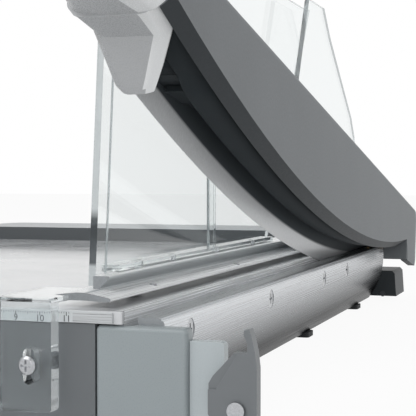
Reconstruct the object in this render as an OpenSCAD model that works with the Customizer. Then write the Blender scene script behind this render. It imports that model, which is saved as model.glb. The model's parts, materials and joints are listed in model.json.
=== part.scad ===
// Lever paper trimmer with a curved blade, a sprung clamp and a clear guard.
// X = 0 is the cut, +X is the lever side; Y = 0 is the front face, +Y is the rear; Z = 0 is the desk.
// The whole machine is then set so that its origin is below the middle of its outline.

/* [Base] */
// Length of the side rail, from the front face to the pivot block
rail_len = 485; // [460:1:500]
// Width of the table, left of the cut
table_w = 320; // [280:1:380]
// Height of the table surface above the desk
table_z = 45.8; // [44:0.1:50]
// Thickness of the table plate
table_t = 2; // [1.5:0.1:2.5]
// Height of the table's folded front lip
lip_h = 4.8; // [4:0.1:6]
// Height of the rubber feet
foot_h = 3; // [2:0.1:4]
// Wall of the pan below the table
pan_wall = 3; // [2:0.1:4]
// Thickness of the front panel
panel_t = 4; // [3:0.1:6]

/* [Rail] */
// Width of the slot that the blade drops into
slot_w = 3.8; // [3.6:0.1:4.4]
// Distance from the cut to the widest point of the rail
rail_w = 14.5; // [14:0.1:16]
// Height of the rail's upper edge above the desk
rail_top_z = 43.3; // [42:0.1:44]
// Thickness of the floor that joins the two legs of the rail
rail_floor = 5; // [4:0.1:5.5]
// Width of the leg that carries the fixed blade
leg_w = 9; // [8:0.1:12]
// Radius of the rail's upper outer edge
rail_edge = 3; // [2:0.1:4]
// Distance from the cut to the lower edge of the rail's curved face
rail_foot_x = 3.3; // [3:0.1:4]
// Head radius of the rail's countersunk screws
rail_head_r = 4.5; // [4:0.1:5]
// Spacing of the rail's screws
rail_screw_step = 120.5; // [110:0.5:130]

/* [Fixed blade] */
// Thickness of the fixed blade
low_blade_t = 3; // [2.5:0.1:4]
// Height of the fixed blade
low_blade_h = 14; // [12:0.1:16]

/* [Front end] */
// Distance from the cut to the left side of the end cap
cap_left = 10.7; // [10:0.1:13]
// Distance from the cut to the right side of the end cap
cap_right = 25.4; // [25:0.1:27]
// Height of the end cap's top above the desk
cap_top_z = 40.5; // [38:0.1:41]
// Thickness of the end cap
cap_t = 6; // [5:0.1:8]
// Radius of the cap's rounded edges
cap_edge = 1.8; // [1:0.1:2.2]

/* [Rear fence] */
// Distance from the fence to the rear end of the rail
fence_ahead = 49; // [44:1:56]
// Depth of the fence platform
fence_d = 84; // [80:1:100]
// Height of the fence above the table
fence_h = 10; // [8:0.1:14]
// Wall of the fence platform
fence_wall = 2.5; // [2:0.1:4]
// Radius of the fence's rear corners
fence_corner = 14; // [8:1:20]

/* [Pivot] */
// Distance from the rail's rear end to the pivot axis
pivot_past = 12; // [10:0.5:15]
// Height of the pivot axis
pivot_z = 45; // [44:0.1:47]
// Radius of the pivot bolt
pivot_r = 5; // [4:0.1:6]
// Wall of the pivot bush
bush_wall = 2; // [1.5:0.1:3]
// Thickness of the ear that holds the pivot bolt
ear_t = 7; // [6:0.1:8]
// Radius of the ear about the pivot axis
ear_r = 14; // [12:0.1:15]
// Height of the pivot block below the arm
block_top_z = 24; // [20:0.1:25]
// Depth of the pivot block
block_d = 40; // [38:1:45]

/* [Arm] */
// Angle at which the arm rests above the closed position
arm_rest = 10.4; // [8:0.1:14]
// Thickness of the moving blade
blade_t = 2.5; // [2:0.1:3]
// Radius of the moving blade's cutting edge
edge_r = 1330; // [1250:5:1400]
// Lowest height of the cutting edge when the arm is closed
edge_low_z = 10.5; // [10.3:0.1:12]
// Width of the ground bevel at the cutting edge
bevel_w = 9; // [6:0.5:12]
// Distance from the cut to the outer face of the arm cover
cover_right = 35; // [34:0.1:37]
// Height of the cover's top when the arm is closed
cover_top_z = 74.4; // [72:0.1:78]
// Radius of the cover's curved lower edge
rim_r = 1250; // [1200:5:1350]
// Lowest height of the cover's lower edge when the arm is closed
rim_low_z = 18.3; // [16:0.1:22]
// Wall of the cover's outer side
side_wall = 5; // [4:0.1:5.5]
// Wall of the cover's top and inner side
cover_wall = 3; // [2.5:0.1:3.4]
// Radius of the cover's upper edges
cover_edge = 4; // [3:0.1:6]
// Length of the cover ahead of the front face
cover_front = 50; // [46:1:56]
// Width of the arm beam
beam_w = 12; // [10:0.1:14]
// Gap between the closed beam and the rail
beam_gap = 3; // [2.5:0.1:4]
// Length of the grip ahead of the cover
grip_len = 92; // [80:1:110]

/* [Clamp] */
// Height of the raised clamp above the table
clamp_lift = 2.7; // [2.3:0.1:3.5]
// Distance from the cut to the clamp's nose
clamp_nose = 8; // [6:0.1:10]
// Distance from the cut to the clamp's step
clamp_step = 14.7; // [13:0.1:16]
// Distance from the cut to the clamp's left side
clamp_left = 31; // [30:0.5:33]
// Thickness of the clamp's nose
nose_t = 2; // [1.5:0.1:2.5]
// Thickness of the clamp's body
clamp_t = 8.1; // [7:0.1:10]
// Radius of the clamp's guide pins
guide_r = 2.5; // [2:0.1:3]

/* [Guard] */
// Thickness of the clear panes
pane_t = 3; // [2:0.1:4]
// Distance from the cut to the near face of the front pane
pane_x = 26.5; // [25:0.1:28]
// Height of the front pane's upper edge above the desk
guard_top_z = 214; // [200:1:240]
// Distance from the front face to the front edge of the pane
guard_front = 36; // [30:1:45]
// Distance from the front face to the rear end of the pane's foot
guard_back = 296; // [280:1:310]
// Distance from the front face to the pane's middle rib
guard_rib_y = 190; // [180:1:200]

/* [Latch] */
// Radius of the latch pin
latch_pin_r = 2; // [1.5:0.1:2.5]
// Thickness of the latch hook
latch_t = 5; // [4:0.1:6]

/* [Hidden] */
$fn = 48;

// Small shared values
gap = 0.3;       // between pieces that move past each other
run_fit = 0.05;  // radial clearance of a shaft that turns or slides
seat_fit = 0.1;  // radial clearance round a fixed screw
eps = 0.5;       // how far a cut runs past the face that it opens
arc_fn = 720;    // segments of the arm's large arcs

// Base
fence_y = rail_len - fence_ahead;
base_back = fence_y + fence_d;
pivot_y = rail_len + pivot_past;
pan_right = low_blade_t + leg_w + 0.2;
plate_under_z = table_z - table_t;
rail_front = cap_t;
blade_seat_y = table_t + 0.2;
cap_skin = 3.6;

// Rail: its outer face is an arc that is upright at the shoulder
rail_shoulder_z = rail_top_z - 8;
rail_rise = rail_shoulder_z - foot_h;
rail_run = rail_w - rail_foot_x;
rail_r = (rail_run * rail_run + rail_rise * rail_rise) / (2 * rail_run);
rail_slot_z = foot_h + rail_floor;
rail_screw_z = rail_top_z - 7.8;
rail_head_h = 2.2;
rail_shank_r = 2.5;
rail_shank_l = 9;
rail_screw_y = [for (i = [0, 1, 2, 2.56]) 35 + i * rail_screw_step];

// Arm: all arm pieces are drawn closed and then raised about the pivot
arm_left = 3.4;
blade_x = gap;
blade_right = blade_x + blade_t;
beam_x = blade_right;
edge_cy = 272.4;
edge_cz = edge_low_z + edge_r;
rim_cy = 235;
rim_cz = rim_low_z + rim_r;
beam_low_z = rail_top_z + beam_gap;
bush_r = pivot_r + bush_wall;
eye_r = bush_r + 4.4;
blade_front = 5;
blade_back = pivot_y - 16;
blade_top_z = beam_low_z + 16;
cover_back = pivot_y + 17;
lug_front = pivot_y - 24;
inner_right = cover_right - side_wall;
ear_x = 1;
ear_left = ear_x + ear_t;
nut_h = 3.8;
nut_r = pivot_r * 1.85;
nut_left = ear_left + nut_h + 0.05;
block_left = low_blade_t + leg_w;
block_low_z = foot_h + 1.5;
grip_tip = -cover_front - grip_len;

// Clamp
clamp_z = table_z + clamp_lift;
clamp_top_z = clamp_z + clamp_t;
clamp_front = 8;
clamp_back = fence_y - 1;
step_front = 22.5;
guide_y = [70, clamp_back - 65];
guide_x = -23;
spring_seat_z = table_z - 10;
spring_r = 3.8;
spring_wire = 0.5;
pad_drop = 0.4;

// Front bracket and guide screw
bracket_x = [-48, -25];
bracket_t = 6.5;
screw_x = -34.2;
screw_z = 25.7;

// Latch
latch_x = 45;
latch_z = 13;

// Outline of the whole machine at rest, for its origin
latch_out = 52.3;
grip_low_z = cover_top_z - 21.4;
tip_dy = grip_tip - pivot_y;
tip_dz = grip_low_z - pivot_z;
outline_back = max(base_back, rail_len + 0.1 + block_d);
outline_front = pivot_y + tip_dy * cos(arm_rest) + tip_dz * sin(arm_rest);
mid_x = (latch_out - table_w) / 2;
mid_y = (outline_front + outline_back) / 2;

// Moves a piece from the cut's frame to the machine's own
module placed() {
    translate([-mid_x, -mid_y, 0]) children();
}

// Raises the arm from its closed position to its rest
module raised() {
    placed()
        translate([0, pivot_y, pivot_z]) rotate([-arm_rest, 0, 0]) translate([0, -pivot_y, -pivot_z])
            children();
}

// Extrudes a Y-Z outline from x0 to x1
module along_x(x0, x1) {
    translate([x0, 0, 0]) rotate([90, 0, 90]) linear_extrude(x1 - x0) children();
}

// Extrudes an X-Z outline from y0 to y1
module along_y(y0, y1) {
    translate([0, y1, 0]) rotate([90, 0, 0]) linear_extrude(y1 - y0) children();
}

// A box between two corners
module span(a, b) {
    translate(a) cube([b[0] - a[0], b[1] - a[1], b[2] - a[2]]);
}

// A rectangle whose four corners have their own radii, from the lower left, counter-clockwise
module round_rect(x0, y0, x1, y1, r) {
    difference() {
        translate([x0, y0]) square([x1 - x0, y1 - y0]);
        for (c = [[x0, y0, 1, 1, r[0]], [x1, y0, -1, 1, r[1]], [x1, y1, -1, -1, r[2]], [x0, y1, 1, -1, r[3]]])
            if (c[4] > 0)
                translate([c[0], c[1]]) mirror([c[2] < 0 ? 1 : 0, 0]) mirror([0, c[3] < 0 ? 1 : 0])
                    corner_cut(c[4]);
    }
}

// What a fillet takes off a corner that opens towards +X and +Y
module corner_cut(r) {
    difference() {
        translate([-eps, -eps]) square(r + eps);
        translate([r, r]) circle(r);
    }
}

// A countersunk screw with a cross recess: its head is flush at z = 0 and its shank points to -Z
module flat_screw(head_r, head_h, shank_r, shank_l) {
    recess = head_r * 1.1;
    difference() {
        union() {
            translate([0, 0, -head_h * 0.35]) cylinder(r = head_r, h = head_h * 0.35);
            translate([0, 0, -head_h]) cylinder(r1 = shank_r, r2 = head_r, h = head_h * 0.65);
            translate([0, 0, -shank_l]) cylinder(r = shank_r, h = shank_l - head_h);
        }
        for (a = [0, 90])
            rotate([0, 0, a]) translate([-recess / 2, -head_r * 0.11, -head_h * 0.45])
                cube([recess, head_r * 0.22, head_h]);
    }
}

// The hole that takes a flat screw, with the fit of a fixed screw
module flat_hole(head_r, head_h, shank_r, shank_l) {
    translate([0, 0, -head_h * 0.35 - seat_fit]) cylinder(r = head_r + seat_fit, h = head_h + eps);
    translate([0, 0, -head_h - seat_fit])
        cylinder(r1 = shank_r + seat_fit, r2 = head_r + seat_fit, h = head_h * 0.65);
    translate([0, 0, -shank_l - 1]) cylinder(r = shank_r + seat_fit, h = shank_l + 1);
}

// A pan-head screw with a cross recess: its head stands on z = 0 and its shank points to -Z
module pan_screw(head_r, head_h, shank_r, shank_l) {
    difference() {
        union() {
            cylinder(r = head_r, h = head_h * 0.6);
            translate([0, 0, head_h * 0.6]) cylinder(r1 = head_r, r2 = head_r * 0.75, h = head_h * 0.4);
            translate([0, 0, -shank_l]) cylinder(r = shank_r, h = shank_l);
        }
        for (a = [0, 90])
            rotate([0, 0, a]) translate([-head_r * 0.6, -head_r * 0.12, head_h * 0.55])
                cube([head_r * 1.2, head_r * 0.24, head_h]);
    }
}

// The plate that paper lies on, with its front lip folded down
module table_plate() placed() color("#d0d2d1") {
    difference() {
        union() {
            span([-table_w, 0, plate_under_z], [-low_blade_t - 0.2, base_back, table_z]);
            span([-table_w, 0, table_z - lip_h], [0, table_t, table_z]);
        }
        span([-pan_right - 1, pivot_y - ear_r - 2, 0], [eps, base_back + eps, table_z + eps]);
        for (y = guide_y)
            translate([guide_x, y, 0]) cylinder(r = spring_r + spring_wire + 0.6, h = table_z + eps);
        for (x = fence_screw_x)
            translate([x, fence_screw_y, table_z + fence_h]) flat_hole(3.6, 2, 2, 28);
        nut_room();
    }
}

// The moulded pan that closes the body below the table, with ribs and the bosses of the guide pins
module base_pan() placed() color("#5c6063") {
    pan = [[-table_w + 1, panel_t + 0.2], [-pan_right, base_back - 1]];
    rib_x = [for (k = [1, 2, 3]) pan[0][0] + k * (pan[1][0] - pan[0][0]) / 4];
    rib_y = [for (k = [1, 2, 3, 4]) pan[0][1] + k * (pan[1][1] - pan[0][1]) / 5];
    difference() {
        translate([0, 0, foot_h]) linear_extrude(plate_under_z - foot_h)
            round_rect(pan[0][0], pan[0][1], pan[1][0], pan[1][1], [2, 0, 0, fence_corner - 1]);
        difference() {
            span([pan[0][0] + pan_wall, pan[0][1] + pan_wall, foot_h + pan_wall],
                 [pan[1][0] - pan_wall, pan[1][1] - pan_wall, plate_under_z + eps]);
            for (x = rib_x)
                span([x - 1, pan[0][1], 0], [x + 1, pan[1][1], plate_under_z - 8]);
            for (y = rib_y)
                span([pan[0][0], y - 1, 0], [pan[1][0], y + 1, plate_under_z - 8]);
            for (y = guide_y)
                translate([guide_x, y, 0]) cylinder(r = 7, h = spring_seat_z);
            for (x = fence_screw_x)
                translate([x, fence_screw_y, 0]) cylinder(r = 5, h = plate_under_z);
            translate([screw_x, pan[0][1], screw_z]) rotate([-90, 0, 0]) cylinder(r = 6, h = 14);
            translate([-table_w, base_back - fence_corner - 2, 0])
                cube([fence_corner + 4, fence_corner + 4, plate_under_z - 2]);
        }
        for (y = guide_y)
            translate([guide_x, y, spring_seat_z - 18]) cylinder(r = guide_r, h = 40);
        for (x = fence_screw_x)
            translate([x, fence_screw_y, table_z + fence_h]) flat_hole(3.6, 2, 2, 28);
        translate([screw_x, 0, screw_z]) rotate([-90, 0, 0]) cylinder(r = 1.75 + seat_fit, h = 16);
        for (p = pan_feet)
            translate([p[0], p[1], foot_h - eps]) cylinder(r = 1.5 + seat_fit, h = pan_wall * 3);
        nut_room();
    }
}

fence_screw_y = fence_y + fence_d * 0.62;
fence_screw_x = [-table_w * 0.9, -table_w * 0.5, -table_w * 0.13];
pan_feet = [for (x = [-table_w + 24, -table_w * 0.5]) for (y = [30, base_back - 30]) [x, y]];
rail_feet = [for (y = [28, 127, 280, rail_len - 51]) [-2.5, y]];

// The dark panel below the front lip, with the hole for the guide screw
module front_panel() placed() color("#6a6d6f") {
    difference() {
        along_y(0, panel_t)
            round_rect(-table_w, foot_h, -cap_left - 0.1, table_z - lip_h - 0.1, [2, 0, 0, 0]);
        translate([screw_x, -eps, screw_z]) rotate([-90, 0, 0]) cylinder(r = 1.75 + seat_fit, h = panel_t * 2);
    }
}

// The thin clear strip on the lip, which carries the centimetre scale
module front_scale_strip() placed() color([0.85, 0.87, 0.88, 0.6]) {
    along_y(-0.8, 0)
        round_rect(-table_w + 2, table_z - lip_h + 0.3, -low_blade_t - 0.4, table_z - 0.7, [0.5, 0.5, 0.5, 0.5]);
}

// The raised platform at the rear, whose dark front face squares the paper to the cut
module rear_fence() placed() color("#4b4f52") {
    right = -pan_right - 1;
    difference() {
        translate([0, 0, table_z]) linear_extrude(fence_h)
            round_rect(-table_w, fence_y, right, base_back, [1, 1, fence_corner, fence_corner]);
        difference() {
            translate([0, 0, table_z - eps]) linear_extrude(fence_h - fence_wall + eps)
                round_rect(-table_w + fence_wall, fence_y + fence_wall, right - fence_wall,
                           base_back - fence_wall, [0, 0, fence_corner - fence_wall, fence_corner - fence_wall]);
            for (x = fence_screw_x)
                translate([x, fence_screw_y, 0]) cylinder(r = 6, h = 80);
            for (y = rear_screw_y)
                translate([rear_foot_x, y, 0]) cylinder(r = 4, h = 80);
        }
        for (x = fence_screw_x)
            translate([x, fence_screw_y, table_z + fence_h]) flat_hole(3.6, 2, 2, 28);
        for (y = rear_screw_y)
            translate([rear_foot_x, y, table_z - eps]) cylinder(r = 1.5 + seat_fit, h = fence_h + 2 * eps);
        nut_room();
    }
}

rear_screw_y = [fence_y + 14, fence_y + 34];
rear_pane_x = 13.4;
rear_foot_x = -rear_pane_x - pane_t - 4;
rear_foot_t = 2.5;

// The screws that hold the fence through the table to the pan
module fence_screws() placed() color("silver") {
    for (x = fence_screw_x)
        translate([x, fence_screw_y, table_z + fence_h]) flat_screw(3.6, 2, 2, 28);
}

// The fixed blade, flush with the table, whose right face is the cut
module lower_blade() placed() color("silver") {
    difference() {
        span([-low_blade_t, blade_seat_y, table_z - low_blade_h], [0, rail_len, table_z]);
        for (y = low_blade_y) low_blade_screw_place(y) flat_hole(3, 1.6, 1.6, 9);
    }
}

low_blade_y = [for (k = [0:4]) 30 + k * (rail_len - 60) / 4];

// Puts a screw in the cut face of the fixed blade
module low_blade_screw_place(y) {
    translate([-0.1, y, table_z - low_blade_h + 4.5]) rotate([0, 90, 0]) children();
}

// The screws of the fixed blade, sunk just below the cut
module lower_blade_screws() placed() color("silver") {
    for (y = low_blade_y) low_blade_screw_place(y) flat_screw(3, 1.6, 1.6, 9);
}

// Section of the rail: the blade's leg, the floor of the slot and the curved leg
module rail_section() {
    difference() {
        union() {
            translate([-low_blade_t - leg_w, foot_h]) square([leg_w, plate_under_z - foot_h]);
            translate([-low_blade_t - 1, foot_h]) square([low_blade_t + 1 - gap, table_z - low_blade_h - foot_h]);
            curved_leg(-low_blade_t, rail_slot_z);
            curved_leg(slot_w, rail_shoulder_z);
            round_rect(slot_w, rail_shoulder_z - 1, rail_w, rail_top_z, [0, 0, rail_edge, 0.4]);
        }
        translate([rail_w - rail_edge, rail_top_z - rail_edge]) rotate(48)
            translate([rail_edge - 0.3, -0.25]) square([1, 0.5]);
        for (z = [foot_h + 8, foot_h + 22])
            translate([-low_blade_t - leg_w - eps, z]) square([3 + eps, 6]);
    }
}

// The rail's section behind its curved face, from x0 outwards and up to z1
module curved_leg(x0, z1) {
    intersection() {
        translate([rail_w - rail_r, rail_shoulder_z]) circle(r = rail_r, $fn = arc_fn);
        translate([x0, foot_h]) square([rail_w - x0, z1 - foot_h]);
    }
}

// Puts a screw in the rail's outer face
module rail_screw_place(y) {
    translate([rail_w - 0.25, y, rail_screw_z]) rotate([0, 90, 0]) children();
}

// The brushed extrusion along the cut side
module side_rail() placed() color("#b9bcbd") {
    difference() {
        along_y(rail_front, rail_len) rail_section();
        for (y = rail_screw_y)
            rail_screw_place(y) flat_hole(rail_head_r, rail_head_h, rail_shank_r, rail_shank_l);
        for (y = low_blade_y) low_blade_screw_place(y) flat_hole(3, 1.6, 1.6, 9);
        for (p = rail_feet)
            translate([p[0], p[1], foot_h - eps]) cylinder(r = 1.5 + seat_fit, h = rail_floor);
        span([-low_blade_t - eps, 0, table_z - low_blade_h], [0, rail_len + eps, table_z]);
    }
}

// The four countersunk screws in the rail's face
module rail_screws() placed() color("silver") {
    for (y = rail_screw_y)
        rail_screw_place(y) flat_screw(rail_head_r, rail_head_h, rail_shank_r, rail_shank_l);
}

// The moulded cap over the front end of the rail, with soft edges
module front_end_cap() placed() color("#8b9496") {
    difference() {
        hull() {
            for (x = [-cap_left + cap_edge, cap_right - cap_edge]) for (z = [foot_h + cap_edge, cap_top_z - cap_edge]) {
                translate([x, cap_edge, z]) sphere(r = cap_edge, $fn = 24);
                translate([x, cap_t - 1, z]) rotate([-90, 0, 0]) cylinder(r = cap_edge, h = 1 - 0.1, $fn = 24);
            }
        }
        span([-low_blade_t - 0.1, blade_seat_y - 0.1, table_z - low_blade_h - 0.1], [0.1, cap_t + eps, table_z]);
        span([-0.1, cap_skin, rail_slot_z], [slot_w, cap_t + eps, table_z]);
    }
}

// The cast block at the rear, with the ear that holds the pivot bolt
module rear_pivot_block() placed() color("#2c3032") {
    y0 = rail_len + 0.1;
    difference() {
        union() {
            along_y(y0, y0 + block_d) polygon([
                [-block_left, block_low_z], [cap_right - 1, block_low_z], [cap_right - 2.2, block_top_z - 2],
                [cap_right - 4.2, block_top_z], [-block_left, block_top_z]
            ]);
            along_x(-ear_left, -ear_x) {
                translate([pivot_y - ear_r + 2.2, block_low_z]) square([2 * ear_r - 2.2, pivot_z - block_low_z]);
                intersection() {
                    translate([pivot_y, pivot_z]) circle(r = ear_r);
                    translate([pivot_y - ear_r + 2.2, pivot_z - 1]) square([2 * ear_r, ear_r + 2]);
                }
            }
        }
        translate([-ear_left - eps, pivot_y, pivot_z]) rotate([0, 90, 0])
            cylinder(r = pivot_r, h = ear_t + 2 * eps);
        for (x = [-2, 14]) pivot_screw_place(x) {
            translate([0, 0, -block_d - eps]) cylinder(r = 2 + seat_fit, h = block_d);
            translate([0, 0, -4]) cylinder(r = 3.6 + seat_fit, h = 5);
        }
    }
}

// Puts a screw in the rear of the pivot block, its head towards the rear
module pivot_screw_place(x) {
    translate([x, rail_len + block_d + 0.1, foot_h + 3]) rotate([-90, 0, 0]) children();
}

// The two screws that pull the pivot block against the rail
module pivot_block_screws() placed() color("#3a3d3f") {
    for (x = [-2, 14]) pivot_screw_place(x) difference() {
        union() {
            translate([0, 0, -4]) cylinder(r = 3.6, h = 3.5);
            translate([0, 0, -block_d + 0.2]) cylinder(r = 2, h = block_d - 4);
        }
        translate([0, 0, -2.5]) cylinder(r = 1.7, h = 4, $fn = 6);
    }
}

// The bolt that the arm turns on, headed on the lever side
module pivot_bolt() placed() color("silver") {
    head_x = bush_right + 0.15;
    translate([0, pivot_y, pivot_z]) rotate([0, 90, 0]) {
        translate([0, 0, -nut_left]) cylinder(r = pivot_r, h = head_x + nut_left);
        difference() {
            translate([0, 0, head_x]) cylinder(r = pivot_r * 1.7, h = 5);
            translate([0, 0, head_x + 2]) cylinder(r = pivot_r * 0.85, h = 4, $fn = 6);
        }
    }
}

bush_right = beam_x + beam_w + 1.5;

// The nut on the outer side of the ear
module pivot_nut() placed() color("silver") {
    translate([-nut_left, pivot_y, pivot_z]) rotate([0, 90, 0]) difference() {
        cylinder(r = nut_r, h = nut_h, $fn = 6);
        translate([0, 0, -eps]) cylinder(r = pivot_r + 0.02, h = nut_h + 2 * eps);
    }
}

// The room that the nut needs beside the ear
module nut_room() {
    span([-nut_left - gap, pivot_y - nut_r - 1, pivot_z - nut_r - 1], [0, pivot_y + nut_r + 1, pivot_z + nut_r + 1]);
}

// The rubber feet below the rail and the pan
module rubber_feet() placed() color("#202224") {
    for (p = concat(pan_feet, rail_feet))
        translate([p[0], p[1], 0]) difference() {
            translate([0, 0, 0]) linear_extrude(foot_h) round_rect(-8, -7, 8, 7, [2, 2, 2, 2]);
            translate([0, 0, -eps]) cylinder(r = 3 + seat_fit, h = foot_h - 0.6 + eps);
            cylinder(r = 1.5 + seat_fit, h = foot_h + eps);
        }
}

// One screw up through each foot
module foot_screws() placed() color("silver") {
    for (p = concat(pan_feet, rail_feet))
        translate([p[0], p[1], foot_h - 0.6]) {
            mirror([0, 0, 1]) cylinder(r = 2.8, h = 1.4);
            cylinder(r = 1.5, h = rail_floor - 1);
        }
}

// The cross-recessed screw that the front bracket slides on
module guide_screw() placed() color("silver") {
    translate([screw_x, -bracket_t - 1.5, screw_z]) rotate([90, 0, 0])
        pan_screw(3.5, 2, 1.75, bracket_t + panel_t + 9);
}

// The two pins that the clamp rises and falls on, fixed in the pan
module clamp_guide_pins() placed() color("silver") {
    for (y = guide_y)
        translate([guide_x, y, spring_seat_z - 18]) cylinder(r = guide_r, h = clamp_top_z - spring_seat_z + 17.6);
}

// A round spring of even pitch: rings of six points joined into one closed tube
module coil(r, wire, h, turns) {
    steps = 12;
    sides = 6;
    rings = turns * steps;
    points = [for (i = [0:rings]) for (j = [0:sides - 1])
        let (a = i * 360 / steps, b = j * 360 / sides, q = r + wire * cos(b))
        [q * cos(a), q * sin(a), wire + i * (h - 2 * wire) / rings + wire * sin(b)]];
    walls = [for (i = [0:rings - 1]) for (j = [0:sides - 1])
        let (p = i * sides + j, q = i * sides + (j + 1) % sides)
        for (t = [[p, q, p + sides], [q, q + sides, p + sides]]) t];
    ends = [for (j = [1:sides - 2]) each [[0, j + 1, j], [rings * sides, rings * sides + j, rings * sides + j + 1]]];
    polyhedron(points, concat(walls, ends));
}

// The springs that lift the clamp off the paper
module clamp_springs() placed() color("silver") {
    for (y = guide_y)
        translate([guide_x, y, spring_seat_z + 0.1])
            coil(spring_r, spring_wire, clamp_z - spring_seat_z - 0.2, 5);
}

// The bracket right of the end cap that carries the latch pin
module latch_bracket() placed() color("#8b9496") {
    difference() {
        union() {
            along_y(2.2, 7) round_rect(cap_right + 0.1, foot_h, 38.6, 36, [0, 0, 1.5, 0]);
            along_y(2.2, 10) round_rect(cap_right + 0.1, foot_h, latch_x + 4, latch_z + 5, [0, 2, 4, 0]);
        }
        translate([latch_x, 0, latch_z]) rotate([-90, 0, 0]) cylinder(r = latch_pin_r, h = 20);
    }
}

// The pin of the latch, headed at the front
module latch_pin() placed() color("silver") {
    translate([latch_x, -latch_t + 1.3, latch_z]) rotate([-90, 0, 0]) {
        translate([0, 0, -1.6]) cylinder(r = latch_pin_r * 1.6, h = 1.4);
        translate([0, 0, -0.2]) cylinder(r = latch_pin_r, h = latch_t + 6);
    }
}

// The latch: a wedge plate that rises into a hook
module latch_hook() placed() color("#707476") {
    y0 = -latch_t + 1.7;
    difference() {
        union() {
            along_y(y0, y0 + latch_t) difference() {
                polygon([
                    [37, 7], [43, 4.5], [48, 4.5], [latch_out, 9], [latch_out, 28], [51.6, 34], [50.3, 39.5],
                    [49.5, 41.9], [47.6, 41.4], [47.4, 39.8], [48.9, 36.4], [48.6, 33.3], [43.7, 33.2], [35.8, 24.7],
                    [34.2, 22], [34.2, 11]
                ]);
                translate([latch_x, latch_z]) circle(r = latch_pin_r + run_fit);
            }
        }
        along_y(y0 - eps, y0 + 0.8) polygon([[30, 20], [37.2, 20], [45.4, 33.2], [45.4, 36], [30, 36]]);
    }
}

// A ring about the axis of one of the arm's arcs, from a profile of radius and X
module arc_ring(cy, cz, profile) {
    translate([0, cy, cz]) rotate([0, 90, 0]) rotate([0, 0, -24])
        rotate_extrude(angle = 48, $fn = arc_fn) polygon(profile);
}

// The curved blade, ground to a bevel on its outer face
module upper_blade() raised() color("silver") {
    difference() {
        intersection() {
            arc_ring(edge_cy, edge_cz, [
                [edge_r - 90, blade_x], [edge_r - 90, blade_right], [edge_r - bevel_w, blade_right],
                [edge_r, blade_x + 0.3], [edge_r, blade_x]
            ]);
            along_x(blade_x - 1, blade_right + 1) polygon([
                [blade_front, 0], [blade_back - 6, 0], [blade_back, 26], [blade_back, blade_top_z - 8],
                [blade_back - 8, blade_top_z], [blade_front + 6, blade_top_z], [blade_front, blade_top_z - 6]
            ]);
        }
        for (y = blade_screw_y) blade_screw_place(y) flat_hole(3.6, 1.6, 2, 11);
    }
}

blade_screw_y = [for (k = [0:5]) 40 + k * (blade_back - 80) / 5];

// Puts a screw in the inner face of the blade
module blade_screw_place(y) {
    translate([blade_x + 0.1, y, beam_low_z + 8]) rotate([0, -90, 0]) children();
}

// The screws that hold the blade to the beam, flush with the blade
module blade_screws() raised() color("silver") {
    for (y = blade_screw_y) blade_screw_place(y) flat_screw(3.6, 1.6, 2, 11);
}

// The bar that carries the blade, the handle and the bush
module arm_beam() raised() color("#7f8385") {
    difference() {
        union() {
            along_x(beam_x, beam_x + beam_w)
                translate([12, beam_low_z]) square([pivot_y - 40, cover_top_z - cover_wall - beam_low_z - 2]);
            along_x(beam_x, beam_x + beam_w) {
                translate([pivot_y - 40, beam_low_z]) square([40, pivot_z + eye_r - beam_low_z]);
                translate([pivot_y, pivot_z]) circle(r = eye_r);
            }
        }
        along_x(beam_x + 4, beam_x + beam_w + eps)
            translate([60, beam_low_z + 5]) square([pivot_y - 130, 12]);
        translate([beam_x - eps, pivot_y, pivot_z]) rotate([0, 90, 0])
            cylinder(r = bush_r, h = beam_w + 2 * eps);
        for (y = blade_screw_y) blade_screw_place(y) flat_hole(3.6, 1.6, 2, 11);
    }
}

// The flanged bush that is pressed into the beam and turns on the bolt
module pivot_bush() raised() color("#b5915a") {
    translate([-ear_x + gap, pivot_y, pivot_z]) rotate([0, 90, 0]) difference() {
        union() {
            cylinder(r = bush_r, h = bush_right + ear_x - gap - 0.15);
            cylinder(r = bush_r + 2, h = ear_x - gap + beam_x);
        }
        translate([0, 0, -eps]) cylinder(r = pivot_r + run_fit, h = 60);
    }
}

// Y-Z outline of the cover
module cover_outline() {
    front = -cover_front;
    back = cover_back;
    top = cover_top_z;
    difference() {
        union() {
            polygon([
                [front, top - 4], [front + 4, top], [back - 6, top], [back, top - 8], [back, pivot_z - 12],
                [back - 3, pivot_z - 16], [lug_front, pivot_z - 16], [lug_front - 6, pivot_z + 4], [front, pivot_z + 10]
            ]);
            intersection() {
                translate([rim_cy, rim_cz]) circle(r = rim_r, $fn = arc_fn);
                translate([front, -20]) square([lug_front - front, pivot_z + 40]);
            }
        }
        translate([front - 200, pivot_z - 60]) square([200, 200]);
        translate([-cover_front - 20, -60]) square([20, 200]);
    }
}

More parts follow.
